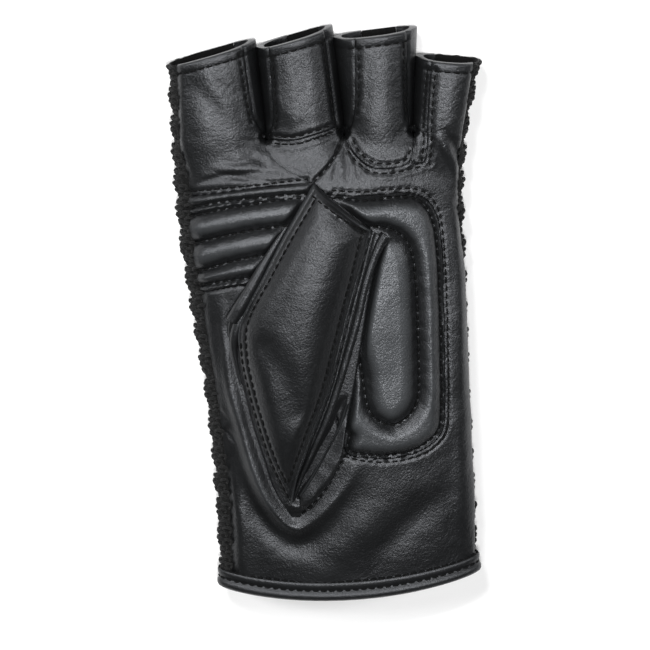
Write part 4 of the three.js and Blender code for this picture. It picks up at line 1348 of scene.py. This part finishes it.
def rolled(path, radii, turns):
    """A strip of leather bent round an open tube along a path, from one turn round it to another."""
    ahead = unit(np.gradient(path, axis=0))
    side = unit(np.cross(ahead, (0.0, 0.0, 1.0)))
    up = np.cross(side, ahead)
    angles = np.linspace(*turns, 15)[:, None, None] * np.pi
    around = np.cos(angles) * side + np.sin(angles) * up
    outer, inner = (path + np.maximum(radii - inset, 0.08)[:, None] * around for inset in (0.0, ROLL_WALL))
    grid = np.concatenate([outer, inner[::-1]]).swapaxes(0, 1)
    count, sides = grid.shape[:2]
    faces = [tube_faces(count, sides)]
    half = np.arange(sides // 2 - 1)
    for start, flip in ((0, 1), ((count - 1) * sides, -1)):
        a, b, c, d = start + half, start + half + 1, start + sides - 2 - half, start + sides - 1 - half
        faces += [np.column_stack([a, b, c])[:, ::flip], np.column_stack([a, c, d])[:, ::flip]]
    points = grid.reshape(-1, 3)
    return points, sided(points, np.concatenate(faces))


def thumb_rolls():
    for name, (line, turns) in THUMB_ROLLS.items():
        line = curve(line, 0.6)
        plan = line[:, :2]
        height = palm_base(plan) + line[:, 2] - ROLL_SINK + 0.12 * grain(plan, 6, 131)
        points, faces = rolled(np.column_stack([plan, height]), line[:, 3], turns)
        make_piece(name, points, faces, "leather", "thumb_back", 0.45)


# Palm panels and the strips between the fingers

PANEL_STEPS = (0.62, 0.54)
PANEL_GAP = 0.07
PANEL_WALL = LEATHER + 0.3
BACK_SINK = 0.3
HOLE_LOW_Z = 16
# Heights between which the palm's relief sets in, and how far inside the thumb's outline it flattens
RELIEF_FROM_Z = (5.0, 8.5)
UNDER_THUMB = (-2.5, 0.5)


def leather_panels():
    """Cuts the skin into its leather panels, and raises the palm's relief on them."""
    skin = skin_sheet(*PANEL_STEPS)
    plan, z = skin["points"][:, :2], skin["points"][:, 2]
    top = skin["side"] > 0
    own = {name: inside_by(plan, outline) for name, outline in OUTLINES.items()}
    own["palm_main"] = -np.max(list(own.values()), axis=0)
    wedges = {name: inside_by(plan, outline) for name, outline in WEDGE_OUTLINES.items()}
    seam = side_seam(skin)
    hole = -inside_by(plan, thumb_hole())
    relief = np.zeros(len(plan))
    relief[top] = palm_relief(plan[top], skin["finger"][top])
    under_thumb = smooth(*UNDER_THUMB, inside_by(plan, thumb_outline()))
    relief = lerp(relief, np.minimum(relief, 0.1), under_thumb) - 0.9 * bell(seam, 0.9)
    in_wedge = np.max(list(wedges.values()), axis=0)
    back = np.minimum(0.12 * grain(plan, 6, 91) - BACK_SINK + 0.3 * smooth(0.0, 2.5, in_wedge), 0)
    in_slit, swell = slit_swell(skin)
    skin["relief"] = lerp(lerp(back, relief, top * smooth(*RELIEF_FROM_Z, z)), swell, in_slit)
    for name, inside in own.items():
        field = np.where(top, np.minimum(inside, seam), wedges.get(name, -FAR))
        field = np.where(top & (z >= HOLE_LOW_Z), np.minimum(field, hole), field)
        sheet = cut(skin, field - PANEL_GAP)
        piece = skin_piece(name + "_leather", sheet, sheet["relief"], -PANEL_WALL, "leather", name)


# Knitted back: a dense layer under rows of yarn loops, in darker yarn as painted shade between the loops

KNIT_STEPS = (1.6, 1.5)
KNIT_PITCH = 2.85
KNIT_ROW = 2.15
KNIT_SINK = 1.1
KNIT_BASE_SINK = 1.4
KNIT_LAYER = 0.5
KNIT_JITTER = 0.3
LOOP_HALF_WIDTH = 0.7
NEXT_ROW = 0.004
YARN = 0.5
SCALLOP = 10.0
SCALLOP_HEIGHT = 1.3
SIDE_SINK = 0.5
SIDE_LAP = 0.12
SEAM_COVER = 0.3
UNDER_DOME = -0.5
SLIT_CLEARANCE = 2.2
# How far the knit's layer and its loops reach under the back's leather, and the layer's gap to the seams
LAYER_LAP = 0.4
LOOP_LAP = 0.3
LAYER_GAP = 0.1
# Loops over the first height lie past the back's leather, and those under the second lie below the slits
BACK_TOP_Z = 8
SLIT_FLOOR_Z = 5.0
# Half of a loop's path: the foot that turns back under it, then the bar to its middle
LOOP_HALF = [
    (0.35, -1.15, -0.5), (0.9, -0.85, -0.25), (1.28, -0.28, 0.05), (1.12, 0.22, 0.42), (0.58, 0.44, 0.62),
    (0.0, 0.5, 0.66),
]


def at_side(facing):
    """1 where the knit faces sideways, and 0 where it faces down."""
    return smooth(0.3, 0.8, np.abs(facing))


def side_scallop(y, facing):
    """How far the knit's folded sides wave in and out."""
    wave = np.abs(np.sin(np.pi * (y + 1.2 * np.sin(y / 9)) / SCALLOP)) - 0.3
    return SCALLOP_HEIGHT * wave * at_side(facing)


def knit_base():
    skin = skin_sheet(*KNIT_STEPS)
    back = np.where(skin["side"] > 0, FAR, -in_back_leather(skin["points"][:, :2], LAYER_LAP))
    sheet = cut(skin, np.minimum(back, -side_seam(skin)) - LAYER_GAP)
    out = side_scallop(sheet["points"][:, 1], sheet["normals"][:, 0]) - KNIT_BASE_SINK
    # The layer's darker yarn is painted shade between the loops
    skin_piece("knit_back_layer", sheet, out, out - KNIT_LAYER, "knit_shaded_under", "knit_back", worn=False)


def loop_mesh():
    """One loop of yarn: a rounded bar whose ends turn down and back under it."""
    path = np.array([(-x, y, z) for x, y, z in LOOP_HALF[:-1]] + LOOP_HALF[::-1])
    number = np.arange(len(path))
    ahead = unit(path[np.minimum(number + 1, number[-1])] - path[np.maximum(number - 1, 0)])
    side = unit(np.cross(ahead, (0, 0, 1)))
    up = np.cross(side, ahead)
    angles = np.linspace(0, 2 * np.pi, 6)[:-1, None]
    rings = path[:, None] + YARN * (np.cos(angles) * side[:, None] + np.sin(angles) * up[:, None])
    return rings.reshape(-1, 3), tube_faces(len(path), len(angles))


def knit_walk(row, share, finger):
    """A row of the skin round the back, from palm to palm, and beside it a little higher up the glove."""
    lap = np.linspace(0, SIDE_LAP, 24)
    legs = [(-1, close_ends(240))]
    if finger in (None, 0):
        legs.insert(0, (1, lap[::-1]))
    if finger in (None, 3):
        legs.append((1, 1 - lap))
    here, higher = (
        np.vstack([skin_points(row, height, across, side, finger) for side, across in legs])
        for height in (share, share + NEXT_ROW)
    )
    return np.hstack([here, higher])


def knit_places():
    """Places of the loops in rows round the back, with their normals and headings."""
    random = np.random.default_rng(17)
    zones = [(hand_row, None, HAND_NOMINAL, 0.5)]
    zones += [(partial(finger_row, finger), finger, FINGER_NOMINAL, 0.4) for finger in range(4)]
    rows = []
    for row, finger, length, first in zones:
        count = round(length / KNIT_ROW)
        for i in range(count):
            walk = knit_walk(row, (i + first) / count, finger)
            along = travelled(walk[:, :3])
            offset = KNIT_PITCH * (0.75 if len(rows) % 2 else 0.25)
            stops = np.arange(offset, along[-1], KNIT_PITCH)
            stops = stops + random.uniform(-KNIT_JITTER, KNIT_JITTER, len(stops))
            place, higher = np.hsplit(points_at(stops, along, walk), 2)
            before, after = (
                points_at(stops + gap, along, walk[:, :3]) for gap in (-LOOP_HALF_WIDTH, LOOP_HALF_WIDTH)
            )
            up_row = higher - place
            normal = unit(np.cross(up_row, after - before))
            heading = unit(np.cross(up_row, normal))
            x, y, z = place.T
            hand = section(y)
            keep = z < np.where(x < 0, hand["seam_left"], hand["seam_right"]) - SEAM_COVER
            keep &= (in_back_leather(place[:, :2], UNDER_DOME) < LOOP_LAP) | (z > BACK_TOP_Z)
            if finger is not None:
                lines, _ = finger_borders(y)
                from_left = x - lines[finger] if finger > 0 else FAR
                from_right = lines[finger + 1] - x if finger < 3 else FAR
                keep &= (np.minimum(from_left, from_right) >= SLIT_CLEARANCE) | (z <= SLIT_FLOOR_Z)
            out = side_scallop(y, normal[:, 0]) - KNIT_SINK - SIDE_SINK * at_side(normal[:, 0])
            rows.append(np.hstack([place + out[:, None] * normal, normal, heading])[keep])
    return np.hsplit(np.concatenate(rows), 3)


def knit_loops():
    """Lays the loops in two pieces, and keeps them off the ground."""
    places, normals, headings = knit_places()
    loop = small_piece("yarn_loop", *loop_mesh())
    half = len(places) // 2
    for number, part in enumerate([slice(0, half), slice(half, None)]):
        settings = {"Pitch": 0.0, "Size Spread": 0.2, "Seed": 31 + number}
        columns = {"normal": normals[part], "heading": headings[part]}
        piece = lay(f"knit_loops_{number}", POINT_TREE, loop, "knit", places[part], [], columns, settings)
        where = np.empty(len(piece.data.vertices) * 3, np.float32)
        piece.data.vertices.foreach_get("co", where)
        where[2::3] = np.maximum(where[2::3], FLOOR_Z * MM)
        piece.data.vertices.foreach_set("co", where)
        piece.data.update()
        declare(piece, "knit", "knit_back")


# Closure on the back: a tongue inside a round binding, a strip of loop tape and a tab over them

TONGUE_STEPS = (0.8, 0.8)
TONGUE_WALL = LEATHER + 0.2
TONGUE_FOOT = 5.2
BINDING_FOOT = 5.6
BINDING_BASE = 0.3
BINDING_HEIGHT = 0.95
BINDING_SINK = 0.7
TAB_INNER_Z = 2.45
TAB_ROUND = 0.8


def above_wrist(plan, height):
    """Height of plan points over the wrist's bowed edge, less a height."""
    return plan[:, 1] - (WRIST_Y + height + wrist_bow(plan[:, 0]))


def closure_tongue():
    """The tongue, with a soft ridge down its middle."""
    skin = skin_sheet(*TONGUE_STEPS)
    plan = skin["points"][:, :2]
    inside = np.minimum(inside_by(plan, dome_outline(TONGUE_EDGE)), above_wrist(plan, TONGUE_FOOT))
    sheet = cut(skin, np.where(skin["side"] < 0, inside, -FAR))
    flat = sheet["points"][:, :2]
    turn = CLOSURE["turn"]
    x, y = ((flat - [CLOSURE["x"], CLOSURE["y"]]) @ np.array([[1, -turn], [turn, 1]])).T
    relief = -0.2 + 0.4 * bell(x + 3.0 + 0.06 * y, 3.0) * smooth(20, 4, y)
    relief -= 0.35 * bell(inside_by(flat, dome_outline(TONGUE_EDGE)) - 1.5, 0.6)
    relief -= 0.035 * wrinkles(flat, 5, 101, 1.3, 1.7)
    relief += 0.15 * grain(flat, 12, 102)
    skin_piece("closure_tongue_leather", sheet, relief, -TONGUE_WALL, "strap_leather", "closure_tongue")


def sweep(rings):
    """A closed tube through rings of points, with flat ends."""
    count, sides = rings.shape[:2]
    points = np.vstack([rings.reshape(-1, 3), rings[0].mean(0), rings[-1].mean(0)])
    faces = [tube_faces(count, sides)]
    for centre, start, flip in ((count * sides, 0, 1), (count * sides + 1, (count - 1) * sides, -1)):
        a = np.arange(sides)
        faces.append(np.column_stack([a + start, (a + 1) % sides + start, np.full(sides, centre)])[:, ::flip])
    return points, sided(points, np.concatenate(faces))


def closure_binding():
    """The rolled edge round the closure: half an oval on a flat base."""
    path = dome_path(BINDING_WIDTH / 2)
    path = path[above_wrist(path, BINDING_FOOT) > 0]
    heading = unit(np.gradient(path, axis=0))
    side = np.column_stack([-heading[:, 1], heading[:, 0]])
    angles = np.linspace(0, np.pi, 9)
    half = BINDING_WIDTH / 2
    profile = [(half * math.cos(a), BINDING_BASE + BINDING_HEIGHT * math.sin(a)) for a in angles]
    profile += [(-half, -BINDING_SINK), (half, -BINDING_SINK)]
    rings = []
    for across, out in profile:
        plan = path + side * across
        rings.append(np.column_stack([plan, np.maximum(skin_z(*plan.T, -1) - out, FLOOR_Z)]))
    points, faces = sweep(np.stack(rings, axis=1))
    make_piece("closure_binding_roll", points, faces, "strap_leather", "closure_binding", 0.35)


def plate(name, place, step, finish, node, profile):
    """A flat plate in an outline; its profile gives the heights of its two faces, and how much lighter its
    leather is, partly worn and partly painted highlight.
    """
    w, h = place["width"] / 2, place["height"] / 2
    xs, ys = (np.linspace(-half, half, int(2 * half / step)) for half in (w, h))
    plan = placed(np.stack(np.meshgrid(xs, ys), -1).reshape(-1, 2), place)
    inside = inside_by(plan, plate_outline(place))
    sheet = {"faces": numbered_faces(len(ys), len(xs)), "plan": plan, "inside": inside}
    sheet = cut(sheet, inside - 0.01)
    outer, inner, wear = profile(sheet["plan"], sheet["inside"])
    outer, inner = (np.column_stack([sheet["plan"], z]) for z in (outer, inner))
    points, faces = shell(outer, inner, sheet["faces"][:, ::-1])
    make_piece(name, points, sided(points, faces), finish, node, np.tile(wear, 2))


def tab_profile(plan, inside):
    """The tab's sewn edge round its raised bare field."""
    edge_drop = 1 - oval(inside / TAB_ROUND, 2)
    panel = 0.32 * smooth(1.9, 3.0, inside) + 0.3 * bell(inside - 2.3, 0.5) + 0.1 * grain(plan, 8, 111)
    outer = FLOOR_Z + 0.05 + np.maximum(panel, 0) + 0.9 * edge_drop
    # The third value lightens the leather near the sewn edge: partly worn, partly a painted highlight
    return outer, TAB_INNER_Z - 0.4 * edge_drop, 0.2 + 0.5 * bell(inside - 1.0, 0.9)


def strip_profile(plan, inside):
    """The loop tape's fuzzy face."""
    base = skin_z(*plan.T, -1)
    fuzz = 0.12 * grain(plan, 0.9, 121) + 0.08 * grain(plan, 2.2, 122)
    return np.maximum(base - 0.85 + fuzz, FLOOR_Z), base - 0.1, 0 * inside


# Section of the cuff's binding: depth from the wrist's edge, and height over the skin
CUFF_PROFILE = [
    (6.1, -0.6), (6.15, 0.55), (5.9, 0.85), (5.2, 0.95), (4.4, 0.9), (3.7, 0.6), (3.3, 0.45), (2.95, 0.7),
    (2.5, 1.15), (1.8, 1.5), (1.0, 1.55), (0.2, 1.25), (-0.4, 0.6), (-0.6, -0.2), (-0.4, -1.1), (0.2, -1.8),
    (1.2, -2.3), (3.6, -2.4), (6.0, -2.4), (6.2, -1.6),
]
LOWEST_CUFF_SHARE = -0.0316
CUFF_COUNT = 150


def cuff_ring(depth):
    """Points round the glove at a depth from the wrist's edge."""
    share = max((depth - PANEL_START) / HAND_NOMINAL, LOWEST_CUFF_SHARE)
    palm, back = (even_row(hand_row, share, side, None, 0.0, 1.0, CUFF_COUNT) for side in (1, -1))
    return np.vstack([palm[:-1], back[:0:-1]])


def ring_normals(ahead):
    """Normals of a ring round the glove, from its directions."""
    return unit(np.column_stack([-ahead[:, 2], 0 * ahead[:, 1], ahead[:, 0]]))


def cuff_binding():
    """The rolled leather round the wrist."""
    columns = []
    for depth, out in CUFF_PROFILE:
        ring = cuff_ring(max(depth, 0.0)) + [0, min(depth, 0.0), 0]
        columns.append(ring + ring_normals(np.roll(ring, -1, axis=0) - np.roll(ring, 1, axis=0)) * out)
    grid = np.stack(columns, axis=1)
    number = np.arange(grid[..., 0].size).reshape(grid.shape[:2])
    number = np.vstack([number, number[:1]])
    points = grid.reshape(-1, 3)
    points[:, 2] = np.maximum(points[:, 2], FLOOR_Z)
    faces = sided(points, grid_faces(np.column_stack([number, number[:, :1]])))
    make_piece("cuff_binding_leather", points, faces, "strap_leather", "cuff_binding", 0.3, sharp=60)


# Rows of stitches, each a pair of points and normals

STITCH_LIFT = 0.12
STITCH_LENGTH = 0.39 * STITCH_PITCH
STITCH_RADIUS = 0.29
STITCH_HEIGHT = 0.34
STITCH_SINK = 0.16
TONGUE_ROW_END = -57.0
TONGUE_ROW = BINDING_WIDTH + 1.6
TAB_ROW = 2.3
TAB_ROW_Z = 0.42
HEM_SPANS = [(0.06, 0.85), (0.17, 0.84), (0.2, 0.86), (0.2, 0.94)]


def skin_normals(line, side, finger, step):
    """The skin's outward normals along a plan line."""
    x, y = line.T
    rise_x = skin_z(x + step, y, side, finger) - skin_z(x - step, y, side, finger)
    rise_y = skin_z(x, y + step, side, finger) - skin_z(x, y - step, side, finger)
    return side * unit(np.column_stack([-rise_x, -rise_y, np.full(len(line), 2 * step)]))


def palm_line(line):
    """A plan line on the palm's leather."""
    line = line[line[:, 0] > section(line[:, 1])["left"] + 2.5]
    x, y = line.T
    normals = skin_normals(line, 1, None, 0.4)
    relief = palm_relief(line, finger_sides(x, y)[0])
    return np.column_stack([line, skin_z(x, y, 1)]) + normals * relief[:, None], normals


def back_line(line, finger):
    """A plan line on the back's leather."""
    normals = skin_normals(line, -1, finger, 0.3)
    return np.column_stack([line, skin_z(*line.T, -1, finger)]) - normals * (BACK_SINK - STITCH_LIFT), normals


def down_line(line, z):
    """A plan line at given heights, with normals that point down."""
    return np.column_stack([line, np.broadcast_to(z, len(line))]), np.tile([0.0, 0.0, -1.0], (len(line), 1))


def hem_line(finger, low, high, count):
    """A plan line along a finger's hem."""
    x, y = finger_row(finger, 1.0, np.linspace(low, high, count))
    return np.column_stack([x, y - HEM_BAND])


def palm_rows():
    """Rows in the palm's flat leather, along its deep seams, in the quilting and along the fingers' hems."""
    rows = [palm_line(row) for table in (FLAT_ROWS, DEEP_ROWS, QUILT_ROWS) for row in table.values()]
    return rows + [palm_line(hem_line(finger, *span, 40)) for finger, span in enumerate(HEM_SPANS)]


def cuff_row(depth, out):
    """A row round the wrist's binding, at a depth from its edge and a height over the skin."""
    ring = closed(cuff_ring(depth))
    normals = ring_normals(np.gradient(ring, axis=0))
    points = ring + normals * out
    points[:, 2] = np.maximum(points[:, 2], 0.4)
    return points, normals


def tab_row():
    return down_line(curve(closed(plate_outline(TAB, TAB_ROW)), 0.6), TAB_ROW_Z)


def tongue_row():
    line = dome_path(TONGUE_ROW)
    line = line[line[:, 1] > TONGUE_ROW_END]
    return down_line(line, skin_z(*line.T, -1) + 0.35)


def strip_rows():
    """Rows along the hems of the strips on the back."""
    rows = []
    for outline in WEDGE_OUTLINES.values():
        for finger in range(4):
            line = hem_line(finger, 0.03, 0.97, 120)
            line = line[inside_by(line, outline) > 0.9]
            if len(line) > 4:
                rows.append(back_line(line, finger))
    return rows


def stitch_mesh():
    """One stitch: a thread that comes up through the leather, runs over it and goes down again."""
    along = np.linspace(-1, 1, 9)
    height = STITCH_HEIGHT * (1 - np.abs(along) ** 3.2) - STITCH_SINK
    angles = np.linspace(0, 2 * np.pi, 7)[:-1]
    rings = []
    for x, z, t in zip(along * STITCH_LENGTH, height, along):
        thick = STITCH_RADIUS * (0.7 + 0.3 * math.sqrt(max(1 - t * t, 0)))
        rings.append([(x, thick * math.cos(a), z + thick * math.sin(a)) for a in angles])
    return np.array(rings).reshape(-1, 3), tube_faces(len(along), len(angles))[:, ::-1]


def sewn(name, rows, finish, stitch, seed):
    """Stitches along rows."""
    edges = []
    start = 0
    for line, _ in rows:
        edges += [(start + i, start + i + 1) for i in range(len(line) - 1)]
        start += len(line)
    points, normals = (np.concatenate(column) for column in zip(*rows))
    settings = {"Pitch": STITCH_PITCH * MM, "Size Spread": 0.07, "Seed": seed}
    piece = lay(name, PATH_TREE, stitch, finish, points, edges, {"normal": normals}, settings)
    declare(piece, "thread")


# Stage, light and camera

FLOOR_HALF = 2.5
FLOOR_DROP = 0.0004
FLOOR_TONE = 0.95
WORLD_STRENGTH = 0.05
# Lamps: name, place, power, width and height
LAMPS = [
    ("overhead", (0.06, 0.18, 2.2), 34.0, 0.35, 0.35),
    ("back", (-0.4, 1.1, 1.3), 16.0, 0.4, 0.3),
    ("left", (-1.0, 0.5, 0.95), 7.5, 0.25, 0.5),
    ("right", (1.0, 0.4, 0.9), 5.0, 0.2, 0.6),
]
CAMERA_TILT = math.radians(14)
CAMERA_AIM = (0.0, -0.0056, 0.0)
FIELD = 0.2145
LENS = 250.0
SENSOR = 36.0


def studio():
    """A pale floor, a faint even light and the lamps, all of them turned to the glove."""
    floor = bpy.data.meshes.new("floor")
    corners = [(x * FLOOR_HALF, y * FLOOR_HALF, 0) for x, y in ((-1, -1), (1, -1), (1, 1), (-1, 1))]
    floor.from_pydata(corners, [], [(0, 1, 2, 3)])
    floor.materials.append(Finish("pale_floor").shade(Base_Color=grey(FLOOR_TONE), Roughness=0.8))
    floor_piece = add_object("floor", floor)
    floor_piece.location.z = -FLOOR_DROP
    world = bpy.data.worlds.new("studio")
    world.use_nodes = True
    world.node_tree.nodes["Background"].inputs["Color"].default_value = (1, 1, 1, 1)
    world.node_tree.nodes["Background"].inputs["Strength"].default_value = WORLD_STRENGTH
    bpy.context.scene.world = world
    bpy.context.scene.view_settings.view_transform = "Standard"
    for name, place, power, width, height in LAMPS:
        light = bpy.data.lights.new(name, "AREA")
        light.shape = "RECTANGLE"
        light.size = width
        light.size_y = height
        light.energy = power
        lamp = add_object(name, light)
        lamp.location = place
        lamp.rotation_euler = (-Vector(place)).to_track_quat("-Z", "Y").to_euler()


def camera():
    """The camera, at the photograph's angle: nearly overhead, leaning to the fingertips."""
    data = bpy.data.cameras.new("camera")
    data.lens = LENS
    data.sensor_width = SENSOR
    data.clip_end = 10
    view = add_object("camera", data)
    direction = Vector((0, math.sin(CAMERA_TILT), math.cos(CAMERA_TILT)))
    view.location = Vector(CAMERA_AIM) + direction * FIELD * LENS / SENSOR
    view.rotation_euler = (-CAMERA_TILT, 0, 0)
    bpy.context.scene.camera = view


camera()
studio()
thumb_rows = thumb_front()
thumb_back()
thumb_rolls()
leather_panels()
knit_base()
knit_loops()
closure_tongue()
closure_binding()
plate("closure_tab_leather", TAB, 0.45, "strap_leather", "closure_tab", tab_profile)
plate("loop_strip_tape", LOOP_STRIP, 0.4, "loop_tape", "loop_strip", strip_profile)
cuff_binding()

stitch = small_piece("stitch", *stitch_mesh())
sewn("palm_stitches", palm_rows(), "thread", stitch, 5)
sewn("thumb_stitches", thumb_rows, "thread", stitch, 6)
sewn("cuff_stitches", [cuff_row(3.3, 0.5), cuff_row(6.35, 0.1)], "thread", stitch, 7)
sewn("tab_stitches", [tab_row()], "thread", stitch, 8)
sewn("tongue_stitches", [tongue_row()], "back_thread", stitch, 9)
sewn("strip_stitches", strip_rows(), "thread", stitch, 10)
